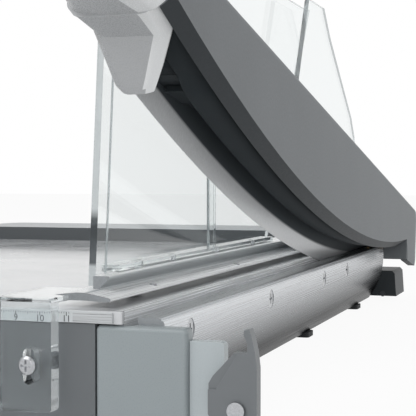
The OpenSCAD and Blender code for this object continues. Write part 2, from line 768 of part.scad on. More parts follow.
// The hollow grey cover of the arm: outer side, top and a short inner side, open below
module arm_cover() raised() color("#7a7e80") {
    difference() {
        intersection() {
            along_x(-arm_left, cover_right) cover_outline();
            along_y(-cover_front - eps, cover_back + eps)
                round_rect(-arm_left, 0, cover_right, cover_top_z, [0, 0, cover_edge, cover_edge]);
        }
        along_y(-cover_front + 2, cover_back - cover_wall)
            round_rect(-arm_left + cover_wall, -5, inner_right, cover_top_z - cover_wall,
                       [0, 0, cover_edge - 2, cover_edge - 2]);
        span([-arm_left - eps, 0, -5], [inner_right, cover_back + eps, beam_low_z + 9]);
        span([-arm_left - eps, -cover_front - eps, -5], [inner_right, 1, cover_top_z - cover_wall]);
        span([-arm_left - eps, lug_front - 4, -5], [inner_right, cover_back + eps, pivot_z + ear_r + 1]);
        intersection() {
            arc_ring(rim_cy, rim_cz, [
                [rim_r - 4, cover_right + 0.01], [rim_r + 1, cover_right + 0.01], [rim_r + 1, inner_right - 1],
                [rim_r + 0.2, inner_right - 1], [rim_r, inner_right]
            ]);
            span([0, -cover_front - 10, -5], [cover_right + 10, lug_front - 5, cover_top_z]);
        }
        for (p = handle_screw_y)
            translate([15, p, cover_top_z]) flat_hole(3.6, 2, 2, 16);
    }
    span([rail_w + 3, lug_front - 3.9, pivot_z - 15.6], [cover_right - 0.4, lug_front - 1, pivot_z + ear_r + 2]);
}

handle_screw_y = [-12, -36];

// The dark strip that closes the arm's underside beside the beam
module arm_inner_cover() raised() color("#2a2f32") {
    span([beam_x + beam_w + 0.1, 12, beam_low_z + 0.5], [inner_right - 0.1, lug_front - 12, beam_low_z + 2.5]);
    for (y = [40, 240, lug_front - 40])
        span([beam_x + beam_w + 0.1, y - 6, beam_low_z + 2.5], [inner_right - 0.1, y + 6, beam_low_z + 6]);
}

bumper_y = 26;
bumper_l = 20;

// The rubber block below the beam that lands on the rail
module arm_bumper() raised() color("#202224") {
    span([slot_w + 0.6, bumper_y, rail_top_z + gap], [slot_w + 8, bumper_y + bumper_l, beam_low_z]);
}

// One cross-section of the handle at y: ten points, from a flat sole to a rounded top
function handle_ring(y, x0, x1, s0, s1, z0, zs, z1) = let (w = x1 - x0, h = z1 - zs) [
    [s0, y, z0], [s1, y, z0], [min(s1 + 3.3, x1), y, z0 + 4], [x1, y, zs], [x1, y, zs + h * 0.6],
    [x1 - w * 0.1, y, zs + h * 0.88], [x1 - w * 0.28, y, z1], [x0 + w * 0.28, y, z1],
    [x0 + w * 0.1, y, zs + h * 0.88], [x0, y, zs + h * 0.6], [x0, y, zs], [max(s0 - 4.5, x0), y, z0 + 4]
];

// A closed solid through a row of rings that have the same number of points
module loft(rings) {
    n = len(rings[0]);
    m = len(rings);
    walls = [for (i = [0:m - 2]) for (j = [0:n - 1])
        let (p = i * n + j, q = i * n + (j + 1) % n) for (t = [[p, q, q + n], [p, q + n, p + n]]) t];
    ends = [for (j = [1:n - 2]) each [[0, j + 1, j], [(m - 1) * n, (m - 1) * n + j, (m - 1) * n + j + 1]]];
    polyhedron([for (r = rings) each r], concat(walls, ends));
}

// The handle: a skirt over the blade's tip, a root inside the cover and the grip ahead of it
module handle_grip() raised() color("#98999b") {
    low = cover_top_z - cover_wall - 0.1;
    in_r = inner_right - 0.2;
    mid = grip_tip + grip_len;
    difference() {
        loft([
            handle_ring(-0.8, -2, 19, 5, 13, 36, 51, low),
            handle_ring(-17, -2, 19, 5, 13, 31.5, 50, low),
            handle_ring(-21, -2, 19.5, 4.5, 13.5, 34, 51, low),
            handle_ring(-34, -2.6, 23, 2, 18, 47, 58, low),
            handle_ring(mid + 1.9, -3, in_r, 0, 24, 49, 58, low),
            handle_ring(mid - 0.1, -3, in_r, 0, 24, 49, 58, low),
            handle_ring(mid - 0.15, -arm_left, cover_right, 2, 27, 49.5, 58, cover_top_z),
            handle_ring(mid - 14, -1, cover_right - 3, 5, 25, 49, 56, cover_top_z - 1),
            handle_ring(mid - 30, 2, 30, 7, 25, 48, 55, cover_top_z - 2),
            handle_ring(mid - 52, 1, 31, 7, 25, 46, 53, cover_top_z - 3),
            handle_ring(mid - 74, 2, 30, 8, 24, 46, 53, cover_top_z - 4),
            handle_ring(grip_tip + 6, 4, 28, 10, 22, 48, 54, cover_top_z - 7),
            handle_ring(grip_tip + 1.5, 8, 24, 13, 19, 51, 55.4, cover_top_z - 11),
            handle_ring(grip_tip, 11, 21, 15, 17, grip_low_z, 57.2, cover_top_z - 14)
        ]);
        for (p = handle_screw_y)
            translate([15, p, cover_top_z]) flat_hole(3.6, 2, 2, 16);
    }
}

// The screws through the cover's top into the handle
module handle_screws() raised() color("silver") {
    for (p = handle_screw_y)
        translate([15, p, cover_top_z]) flat_screw(3.6, 2, 2, 16);
}

// The pressing bar: a stepped extrusion with a nose along the cut
module clamp_bar() placed() color("#c4c6c7") {
    difference() {
        union() {
            along_y(clamp_front, clamp_back) difference() {
                round_rect(-clamp_left, clamp_z, -clamp_nose, clamp_z + nose_t, [0.4, 0.3, 0.8, 0]);
                translate([-clamp_step + 1.6, clamp_z + nose_t - 0.5]) square([1, 1]);
            }
            along_y(step_front, clamp_back) difference() {
                round_rect(-clamp_left, clamp_z, -clamp_step, clamp_top_z, [0.4, 0, 1, 1]);
                translate([-clamp_step - 3.2, clamp_top_z - 0.5]) square([1, 1]);
            }
        }
        span([-clamp_step - 3.9, step_front + 1, clamp_z - eps], [-clamp_nose - 4.4, clamp_back + eps, clamp_z + pad_seat]);
        for (y = guide_y)
            translate([guide_x, y, clamp_z - eps]) cylinder(r = guide_r + run_fit, h = clamp_t + 2 * eps);
        for (y = nose_screw_y)
            translate([nose_screw_x, y, clamp_z + nose_t]) flat_hole(1.6, 0.9, 0.9, 1.9);
        for (y = foot_screw_y) foot_screw_place(y) flat_hole(2.6, 1.4, 1.5, clamp_t + foot_t - 0.8);
    }
}

// Puts a screw up through the clamp into the guard's foot
module foot_screw_place(y) {
    translate([foot_screw_x, y, clamp_z]) mirror([0, 0, 1]) children();
}

nose_screw_x = -10.9;
nose_screw_y = [for (y = [60:120:clamp_back - 10]) y];
foot_screw_x = guide_x + 1;
foot_screw_y = [for (k = [0:2]) 112 + k * 66];
foot_t = 3;
pad_seat = 1.2;

// The soft strip in the underside of the clamp
module clamp_pad() placed() color("#3a3d3f") {
    span([-clamp_step - 3.8, step_front + 2, clamp_z - pad_drop], [-clamp_nose - 4.5, clamp_back - 1, clamp_z + pad_seat]);
}

// The clear upright pane on the clamp, with a rim at its front and a rib at its middle
module guard_pane() placed() color([0.9, 0.93, 0.94, 0.3]) {
    x0 = -pane_x - pane_t;
    low = clamp_top_z + 0.02;
    lean = 0.1;
    rise = guard_top_z - low;
    difference() {
        union() {
            along_x(x0, -pane_x) polygon([
                [guard_front, low], [guard_back, low], [guard_back + 109, guard_top_z],
                [guard_front + lean * rise + 24, guard_top_z],
                [guard_front + lean * rise, guard_top_z - 24]
            ]);
            along_x(x0 - 2, -pane_x) polygon([
                [guard_rib_y, low], [guard_rib_y + pane_t, low],
                [guard_rib_y + pane_t, guard_top_z], [guard_rib_y, guard_top_z]
            ]);
        }
    }
}

// The clear foot that joins the pane to the clamp
module guard_foot() placed() color([0.9, 0.93, 0.94, 0.3]) {
    difference() {
        span([-pane_x + 0.02, guard_front + 6, clamp_top_z], [-pane_x + 8, guard_back - 16, clamp_top_z + foot_t]);
        for (y = foot_screw_y) foot_screw_place(y) flat_hole(2.6, 1.4, 1.5, clamp_t + foot_t - 0.8);
        translate([guide_x, guide_y[0], clamp_top_z - eps]) cylinder(r = guide_r + gap, h = foot_t + 2 * eps);
    }
}

// The small screws of the clamp's nose and of the guard's foot
module guard_screws() placed() color("silver") {
    for (y = nose_screw_y)
        translate([nose_screw_x, y, clamp_z + nose_t]) flat_screw(1.6, 0.9, 0.9, 1.9);
    for (y = foot_screw_y) foot_screw_place(y) flat_screw(2.6, 1.4, 1.5, clamp_t + foot_t - 1);
}

// The clear bracket at the front of the clamp, slotted for the guide screw
module front_bracket() placed() color([0.9, 0.93, 0.94, 0.3]) {
    front = -bracket_t - 1.2;
    top = clamp_z + nose_t;
    difference() {
        union() {
            along_y(front, -1.2) round_rect(bracket_x[0], 8, bracket_x[1], top, [2, 2, 1, 1]);
            span([bracket_x[0], -2, clamp_z], [bracket_x[1], clamp_front - 0.05, top]);
            span([bracket_x[0], clamp_front - 0.1, clamp_z], [-clamp_left - 0.05, step_front + 12, top]);
        }
        along_y(front - eps, 0) union() {
            translate([screw_x - 2.3, screw_z - 5]) square([4.6, 9]);
            for (z = [screw_z - 5, screw_z + 4])
                translate([screw_x, z]) circle(r = 2.3);
        }
    }
}

// The clear rear pane, which stands on the fence and overlaps the front pane
module guard_rear_pane() placed() color([0.9, 0.93, 0.94, 0.3]) {
    base_z = table_z + fence_h;
    difference() {
        union() {
            along_x(-rear_pane_x - pane_t, -rear_pane_x) polygon([
                [fence_y + 3, base_z], [fence_y + 66, base_z], [fence_y + 73, base_z + 8],
                [fence_y + 76.5, guard_top_z - 94], [fence_y + 76, guard_top_z - 87],
                [fence_y + 62.8, guard_top_z - 71.8], [fence_y - 15.5, guard_top_z - 18.5],
                [fence_y - 36, guard_top_z], [fence_y - 82, guard_top_z], [fence_y - 141, base_z + 44],
                [fence_y - 153, base_z + 20], [fence_y - 148, base_z + 6.2], [fence_y - 14, base_z + 6.2],
                [fence_y - 6, base_z + 2]
            ]);
            span([-rear_pane_x - pane_t - 9, fence_y + 3, base_z], [-rear_pane_x, fence_y + 48, base_z + rear_foot_t]);
        }
        for (y = rear_screw_y)
            translate([rear_foot_x, y, base_z - eps]) cylinder(r = 1.5 + seat_fit, h = rear_foot_t + 2 * eps);
    }
}

// The screws that hold the rear pane's foot to the fence
module rear_pane_screws() placed() color("silver") {
    for (y = rear_screw_y)
        translate([rear_foot_x, y, table_z + fence_h + rear_foot_t]) pan_screw(2.6, 1.6, 1.5, rear_foot_t + 6);
}

table_plate();
base_pan();
front_panel();
front_scale_strip();
rear_fence();
fence_screws();
lower_blade();
lower_blade_screws();
side_rail();
rail_screws();
front_end_cap();
rear_pivot_block();
pivot_block_screws();
pivot_bolt();
pivot_nut();
rubber_feet();
foot_screws();
guide_screw();
clamp_guide_pins();
clamp_springs();
latch_bracket();
latch_pin();
guard_rear_pane();
rear_pane_screws();
arm_cover();
arm_beam();
arm_inner_cover();
upper_blade();
blade_screws();
pivot_bush();
arm_bumper();
handle_grip();
handle_screws();
clamp_bar();
clamp_pad();
guard_pane();
guard_foot();
guard_screws();
front_bracket();
latch_hook();
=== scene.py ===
"""Looks of a lever paper trimmer with a curved blade, a sprung clamp and a clear guard.

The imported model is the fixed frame. Each sub-assembly is a class that dresses its own solids and adds
the finer pieces that the solids leave out. Sizes are in millimetres in the frame of the cut (X = 0 is the
cut, Y = 0 the front face, Z = 0 the desk) and are turned into metres by Place. Finishes are in metres.
"""

import json
import logging
from dataclasses import dataclass
from enum import Enum
from functools import cache
from math import ceil, cos, floor, pi, radians, sin, sqrt
from typing import Callable, Iterable, Sequence

import bmesh
import bpy
from mathutils import Euler, Matrix, Vector

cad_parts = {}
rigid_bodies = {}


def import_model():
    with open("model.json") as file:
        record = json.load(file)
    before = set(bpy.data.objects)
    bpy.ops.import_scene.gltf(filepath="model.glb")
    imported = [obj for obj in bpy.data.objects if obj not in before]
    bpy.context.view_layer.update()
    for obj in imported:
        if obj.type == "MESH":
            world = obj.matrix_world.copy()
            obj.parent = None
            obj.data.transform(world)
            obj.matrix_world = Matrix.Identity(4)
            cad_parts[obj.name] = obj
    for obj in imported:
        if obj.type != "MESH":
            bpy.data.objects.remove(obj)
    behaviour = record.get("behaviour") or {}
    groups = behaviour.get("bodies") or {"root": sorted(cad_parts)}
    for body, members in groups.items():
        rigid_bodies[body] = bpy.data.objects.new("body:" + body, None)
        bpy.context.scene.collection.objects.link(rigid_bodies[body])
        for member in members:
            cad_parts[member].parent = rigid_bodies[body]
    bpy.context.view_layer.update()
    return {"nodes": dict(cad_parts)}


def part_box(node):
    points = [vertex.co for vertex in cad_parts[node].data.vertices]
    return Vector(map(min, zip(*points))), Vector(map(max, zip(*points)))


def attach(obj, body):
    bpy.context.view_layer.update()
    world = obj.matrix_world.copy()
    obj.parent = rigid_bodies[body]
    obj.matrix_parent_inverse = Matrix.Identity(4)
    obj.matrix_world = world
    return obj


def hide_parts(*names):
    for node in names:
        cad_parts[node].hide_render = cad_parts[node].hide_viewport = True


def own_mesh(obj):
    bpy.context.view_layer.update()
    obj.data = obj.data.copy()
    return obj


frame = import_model()

LOG = logging.getLogger("trimmer")
Point = tuple[float, float, float]
Shade = tuple[int, int, int]
Colour = tuple[float, float, float, float]
Pair = tuple[float, float]
Section = list[Pair]
Shell = tuple[list[Vector], list[list[int]]]
Node = bpy.types.Node
Socket = bpy.types.NodeSocket
Face = bpy.types.MeshPolygon
Piece = bpy.types.Object

MM = 0.001
TICKS_PER_FIGURE = 10
# A face looks along an axis above FACING, its normal's share, and to the side below SIDEWAYS.
FACING = 0.9
SIDEWAYS = 0.7
# Edges sharper than SOFT_ANGLE, in degrees, are softened, once points closer than WELD are one.
# A FLAT_WEIGHT over 50 lets the large faces lead the shading.
SOFT_ANGLE = 35.0
WELD = 0.000002
FLAT_WEIGHT = 80
# A Mix node takes its colours at the inputs MIX_IN and gives the mixed one at the output MIX_OUT.
MIX_IN = (6, 7)
MIX_OUT = 2
# An edge is where the cosine between the bevelled and the plain normal falls through this range.
EDGE_COSINE = (0.80, 0.995)
WHITE = (1.0, 1.0, 1.0, 1.0)


def linear(shade: Shade) -> Colour:
    """Turns a display colour into the linear colour that a shader takes.

    Args:
        shade: red, green and blue from 0 to 255.

    Returns:
        The linear colour with an alpha of 1.
    """
    def one(v: float) -> float:
        """Turns one channel from 0..1 into its linear value."""
        return v / 12.92 if v <= 0.04045 else ((v + 0.055) / 1.055) ** 2.4

    return tuple(one(c / 255) for c in shade) + (1.0,)


def toned(colour: Colour, gain: float, lift: float = 0.0) -> Colour:
    """Scales a linear colour and lifts it, up to 1.

    Args:
        colour: the linear colour.
        gain: factor of each channel.
        lift: what is added to each channel.

    Returns:
        The new colour with an alpha of 1.
    """
    return tuple(min(1.0, c * gain + lift) for c in colour[:3]) + (1.0,)


@dataclass(frozen=True)
class Place:
    """Turns points of the cut's frame, in millimetres, into the model's frame, in metres."""

    cut_x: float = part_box("lower_blade")[1].x
    front_y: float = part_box("table_plate")[0].y
    pivot_y: float = 497.0
    pivot_z: float = 45.0
    arm_rest: float = 10.4

    def at(self, x: float, y: float, z: float) -> Vector:
        """Gives the model's point for a point of the cut's frame."""
        return Vector((self.cut_x + x * MM, self.front_y + y * MM, z * MM))

    def raised(self, x: float, y: float, z: float) -> Vector:
        """Gives the model's point for a point of the closed arm, once the arm is raised to its rest.

        Args:
            x: place to the right of the cut.
            y: place behind the front face.
            z: height over the desk.

        Returns:
            The point in metres.
        """
        a = radians(self.arm_rest)
        dy, dz = y - self.pivot_y, z - self.pivot_z
        return self.at(x, self.pivot_y + dy * cos(a) + dz * sin(a),
                       self.pivot_z - dy * sin(a) + dz * cos(a))


PLACE = Place()


class Grain(Enum):
    """Direction in which a metal is brushed: the stretch of its noise along X, Y and Z."""

    LENGTHWISE = (2600.0, 14.0, 2600.0)
    ACROSS = (30.0, 2600.0, 2600.0)
    EVEN = (1500.0, 1500.0, 1500.0)


class Nodes:
    """A node tree under construction, with short calls for its nodes."""

    def __init__(self, tree: bpy.types.NodeTree) -> None:
        """Takes the tree that the nodes go into."""
        self.tree = tree

    def fill(self, node: Node, inputs: dict[str | int, object]) -> None:
        """Sets the constant values of a node's own sockets."""
        for key, value in inputs.items():
            node.inputs[key].default_value = value

    def add(self, kind: str, inputs: dict[str | int, object] | None = None, **values: object) -> Node:
        """Adds a node, sets its properties and fills its sockets.

        Args:
            kind: the node's type name after "ShaderNode", such as "TexNoise".
            inputs: constant values of its sockets.
            values: properties of the node.

        Returns:
            The new node.
        """
        node = self.tree.nodes.new("ShaderNode" + kind)
        for key, value in values.items():
            setattr(node, key, value)
        self.fill(node, inputs or {})
        return node

    def join(self, source: Socket, target: Socket) -> None:
        """Links one socket to another."""
        self.tree.links.new(source, target)

    def noise(self, scale: Sequence[float], detail: float = 3.0) -> Socket:
        """Gives a noise from 0 to 1 over the piece's own coordinates, stretched along each axis.

        Args:
            scale: cells to the metre along X, Y and Z.
            detail: octaves of the noise.

        Returns:
            The noise's socket.
        """
        mapping = self.add("Mapping", {"Scale": tuple(scale)})
        node = self.add("TexNoise", {"Scale": 1.0, "Detail": detail})
        self.join(self.add("TexCoord").outputs["Object"], mapping.inputs["Vector"])
        self.join(mapping.outputs["Vector"], node.inputs["Vector"])
        return node.outputs["Fac"]

    def ranged(self, source: Socket, low: float, high: float, start: float = 0.3, end: float = 0.7) -> Socket:
        """Maps a value from start..end to low..high, clamped.

        Args:
            source: the value's socket.
            low: result at start.
            high: result at end.
            start: lower end of the value.
            end: upper end of the value.

        Returns:
            The socket of the mapped value.
        """
        node = self.add("MapRange", {"From Min": start, "From Max": end, "To Min": low, "To Max": high})
        self.join(source, node.inputs["Value"])
        return node.outputs["Result"]

    def blend(self, share: Socket, first: object, second: object) -> Socket:
        """Mixes two colours, each a colour or a socket.

        Args:
            share: socket of the second colour's share.
            first: colour at 0.
            second: colour at 1.

        Returns:
            The socket of the mixed colour.
        """
        node = self.add("Mix", data_type="RGBA")
        self.join(share, node.inputs["Factor"])
        for value, place in zip((first, second), MIX_IN):
            if isinstance(value, Socket):
                self.join(value, node.inputs[place])
            else:
                node.inputs[place].default_value = value
        return node.outputs[MIX_OUT]

    def switch(self, mask: Socket, first: Node, second: Node, output: Node) -> None:
        """Shows one shader where a mask is 0 and another where it is 1.

        Args:
            mask: the mask's socket.
            first: the shader at 0.
            second: the shader at 1.
            output: the tree's output node.
        """
        mix = self.add("MixShader")
        self.join(mask, mix.inputs["Fac"])
        self.join(first.outputs[0], mix.inputs[1])
        self.join(second.outputs[0], mix.inputs[2])
        self.join(mix.outputs[0], output.inputs["Surface"])

    def edges(self, radius: float) -> Socket:
        """Gives a mask that is 1 on outer and inner edges and 0 on flats.

        Args:
            radius: width of the edge band in metres.

        Returns:
            The mask's socket.
        """
        bevel = self.add("Bevel", {"Radius": radius}, samples=4)
        plain = self.add("NewGeometry")
        dot = self.add("VectorMath", operation="DOT_PRODUCT")
        self.join(bevel.outputs["Normal"], dot.inputs[0])
        self.join(plain.outputs["Normal"], dot.inputs[1])
        return self.ranged(dot.outputs["Value"], 1.0, 0.0, *EDGE_COSINE)

    def height(self, low: float, high: float) -> Socket:
        """Gives 0 to 1 between two heights of the piece.

        Args:
            low: height in metres where the value is 0.
            high: height in metres where it is 1.

        Returns:
            The value's socket.
        """
        split = self.add("SeparateXYZ")
        self.join(self.add("TexCoord").outputs["Object"], split.inputs[0])
        return self.ranged(split.outputs["Z"], 0.0, 1.0, low, high)

    def seen(self) -> Socket:
        """Gives 1 for rays from the camera, from gloss and through glass, and 0 for rays that light.

        Returns:
            The mask's socket.
        """
        path = self.add("LightPath")
        mask = path.outputs["Is Camera Ray"]
        for ray in ("Is Glossy Ray", "Is Transmission Ray"):
            either = self.add("Math", operation="MAXIMUM")
            self.join(mask, either.inputs[0])
            self.join(path.outputs[ray], either.inputs[1])
            mask = either.outputs[0]
        return mask


class Surface(Nodes):
    """A material under construction."""

    def __init__(self, name: str) -> None:
        """Starts a material with one principled shader.

        Args:
            name: the material's name.
        """
        self.material = bpy.data.materials.new(name)
        self.material.use_nodes = True
        super().__init__(self.material.node_tree)
        self.shader = self.tree.nodes["Principled BSDF"]
        self.output = self.tree.nodes["Material Output"]

    def feed(self, key: str, source: Socket) -> None:
        """Links a socket to one of the shader's inputs."""
        self.join(source, self.shader.inputs[key])

    def bump(self, height: Socket, strength: float, depth: float) -> None:
        """Gives the shader a fine relief.

        Args:
            height: socket of the relief's height, from 0 to 1.
            strength: strength of the relief.
            depth: depth of the relief in metres.
        """
        node = self.add("Bump", {"Strength": strength, "Distance": depth})
        self.join(height, node.inputs["Height"])
        self.feed("Normal", node.outputs["Normal"])


@dataclass(frozen=True)
class Coat:
    """A powder coat or a painted casting: two close tones, a fine orange peel and paler worn edges.

    The tones change over clouds, dim is the darker one's share, worn is the gain and the lift of a worn
    edge, edge its width, and spread is how far the roughness falls and rises.
    """

    name: str
    colour: Shade
    roughness: float = 0.42
    relief: float = 0.10
    cells: float = 900.0
    wear: float = 0.25
    sheen: float = 0.4
    gloss: float = 0.0
    clouds: Point = (22.0, 22.0, 22.0)
    detail: float = 4.0
    dim: float = 0.93
    worn: Pair = (1.35, 0.05)
    edge: float = 0.0005
    spread: Pair = (0.04, 0.05)
    depth: float = 0.00006
    gloss_roughness: float = 0.12

    def make(self) -> bpy.types.Material:
        """Builds the finish.

        Returns:
            The new material.
        """
        n = Surface(self.name)
        base = linear(self.colour)
        tone = n.blend(n.ranged(n.noise(self.clouds, self.detail), 0.0, 1.0), toned(base, self.dim), base)
        if self.wear:
            mask = n.ranged(n.edges(self.edge), 0.0, self.wear, 0.0, 1.0)
            tone = n.blend(mask, tone, toned(base, *self.worn))
        n.feed("Base Color", tone)
        grain = n.noise((self.cells,) * 3, 2.0)
        n.feed("Roughness", n.ranged(grain, self.roughness - self.spread[0], self.roughness + self.spread[1]))
        n.bump(grain, self.relief, self.depth)
        n.fill(n.shader, {"Specular IOR Level": self.sheen})
        if self.gloss:
            n.fill(n.shader, {"Coat Weight": self.gloss, "Coat Roughness": self.gloss_roughness})
        return n.material


@dataclass(frozen=True)
class Moulding(Coat):
    """A moulded plastic with a fine spark-eroded grain and faint flow marks."""

    roughness: float = 0.45
    relief: float = 0.12
    cells: float = 2400.0
    wear: float = 0.15
    clouds: Point = (9.0, 30.0, 9.0)
    detail: float = 3.0
    dim: float = 0.95
    worn: Pair = (1.25, 0.03)
    edge: float = 0.0006
    spread: Pair = (0.05, 0.05)
    depth: float = 0.00004


@dataclass(frozen=True)
class Brushed:
    """A brushed metal, which may darken and turn fully metallic towards its foot: painted shade.

    The roughness has a spread, contrast is how dark the lines are, foot is the colour of the painted shade
    below painted_shade_z, and rim is the share of the glancing reflection.
    """

    name: str
    colour: Shade
    grain: Grain = Grain.LENGTHWISE
    roughness: float = 0.32
    spread: float = 0.10
    contrast: float = 0.12
    relief: float = 0.12
    foot: Shade | None = None
    painted_shade_z: Pair = (0.012, 0.0395)
    metal: float = 1.0
    rim: float = 1.0
    depth: float = 0.00003

    def make(self) -> bpy.types.Material:
        """Builds the finish.

        Returns:
            The new material.
        """
        n = Surface(self.name)
        base = linear(self.colour)
        lines = n.noise(self.grain.value, 4.0)
        tone = n.blend(n.ranged(lines, 0.0, 1.0, 0.35, 0.65), toned(base, 1 - self.contrast), base)
        # Painted shade: towards the foot the colour gives way to a dark tone and turns fully metallic.
        if self.foot:
            low = n.height(*self.painted_shade_z)
            tone = n.blend(low, linear(self.foot), tone)
            n.feed("Metallic", n.ranged(low, 1.0, self.metal, 0.0, 1.0))
        else:
            n.fill(n.shader, {"Metallic": self.metal})
        n.feed("Base Color", tone)
        half = self.spread / 2
        n.feed("Roughness", n.ranged(lines, self.roughness - half, self.roughness + half))
        n.fill(n.shader, {"Specular Tint": (self.rim,) * 3 + (1.0,)})
        n.bump(lines, self.relief, self.depth)
        return n.material


@dataclass(frozen=True)
class GroundBlade:
    """A blued knife whose bevel is ground bright, told apart by the distance from the edge's centre.

    The bevel starts within a soft band. Gains are the factors of the streaks, and rough the roughness, each
    of the body and of the bevel.
    """

    name: str
    body: Shade
    bright: Shade
    centre: Vector
    radius: float = 1.33
    bevel: float = 0.009
    soft: Pair = (0.0009, 0.0006)
    lines: Point = (3000.0, 2600.0, 60.0)
    gains: Pair = (1.15, 0.86)
    metal: float = 0.2
    rough: Pair = (0.6, 0.3)
    sheen: float = 0.15
    relief: float = 0.08
    depth: float = 0.00002

    def make(self) -> bpy.types.Material:
        """Builds the finish.

        Returns:
            The new material.
        """
        n = Surface(self.name)
        away = n.add("VectorMath", {1: self.centre}, operation="SUBTRACT")
        flat = n.add("VectorMath", {1: (0.0, 1.0, 1.0)}, operation="MULTIPLY")
        length = n.add("VectorMath", operation="LENGTH")
        n.join(n.add("TexCoord").outputs["Object"], away.inputs[0])
        n.join(away.outputs[0], flat.inputs[0])
        n.join(flat.outputs[0], length.inputs[0])
        edge = self.radius - self.bevel
        ground = n.ranged(length.outputs["Value"], 0.0, 1.0, edge - self.soft[0], edge + self.soft[1])
        lines = n.noise(self.lines, 4.0)
        share = n.ranged(lines, 0.0, 1.0)
        dark, light = linear(self.body), linear(self.bright)
        body = n.blend(share, dark, toned(dark, self.gains[0]))
        bright = n.blend(share, toned(light, self.gains[1]), light)
        n.feed("Base Color", n.blend(ground, body, bright))
        n.feed("Metallic", n.ranged(ground, 0.0, self.metal, 0.0, 1.0))
        n.feed("Roughness", n.ranged(ground, *self.rough, 0.0, 1.0))
        n.fill(n.shader, {"Specular IOR Level": self.sheen})
        n.bump(lines, self.relief, self.depth)
        return n.material


@dataclass(frozen=True)
class Clear:
    """A clear acrylic sheet, which lets light through to what is behind it.

    Between the heights of painted_dark_band it takes painted_dark_band_tint, a painted dark reflection, with
    a fade below and above.
    """

    name: str
    tint: Shade = (243, 246, 246)
    roughness: float = 0.02
    see: float = 1.0
    bend: float = 1.06
    shadow: float = 0.93
    painted_dark_band: Pair | None = None
    painted_dark_band_tint: Shade = (74, 79, 82)
    fade: Pair = (0.0015, 0.004)
    haze: float = 0.01
    haze_gain: float = 0.97
    polish: Pair = (0.3, 0.02)

    def make(self) -> bpy.types.Material:
        """Builds the finish.

        Returns:
            The new material.
        """
        n = Surface(self.name)
        haze = n.ranged(n.noise((40.0, 40.0, 40.0)), self.roughness, self.roughness + self.haze)
        n.feed("Roughness", haze)
        tint = linear(self.tint)
        tone = n.blend(haze, tint, toned(tint, self.haze_gain))
        # Painted reflection: a dark band between two heights.
        if self.painted_dark_band:
            low, high = self.painted_dark_band
            band = n.add("Math", operation="MULTIPLY")
            n.join(n.height(low - self.fade[0], low), band.inputs[0])
            n.join(n.ranged(n.height(high, high + self.fade[1]), 1.0, 0.0, 0.0, 1.0), band.inputs[1])
            tone = n.blend(band.outputs[0], tone, linear(self.painted_dark_band_tint))
        n.feed("Base Color", tone)
        n.fill(n.shader, {"Transmission Weight": self.see, "IOR": self.bend,
                          "Coat Weight": self.polish[0], "Coat Roughness": self.polish[1]})
        path = n.add("LightPath")
        through = n.add("BsdfTransparent", {"Color": (self.shadow,) * 3 + (1.0,)})
        n.switch(path.outputs["Is Shadow Ray"], n.shader, through, n.output)
        return n.material


# The centre of the swinging blade's edge, whose lowest point is 10.5 mm up when the arm is closed
BLADE_CENTRE = PLACE.raised(0.0, 272.4, 1340.5)

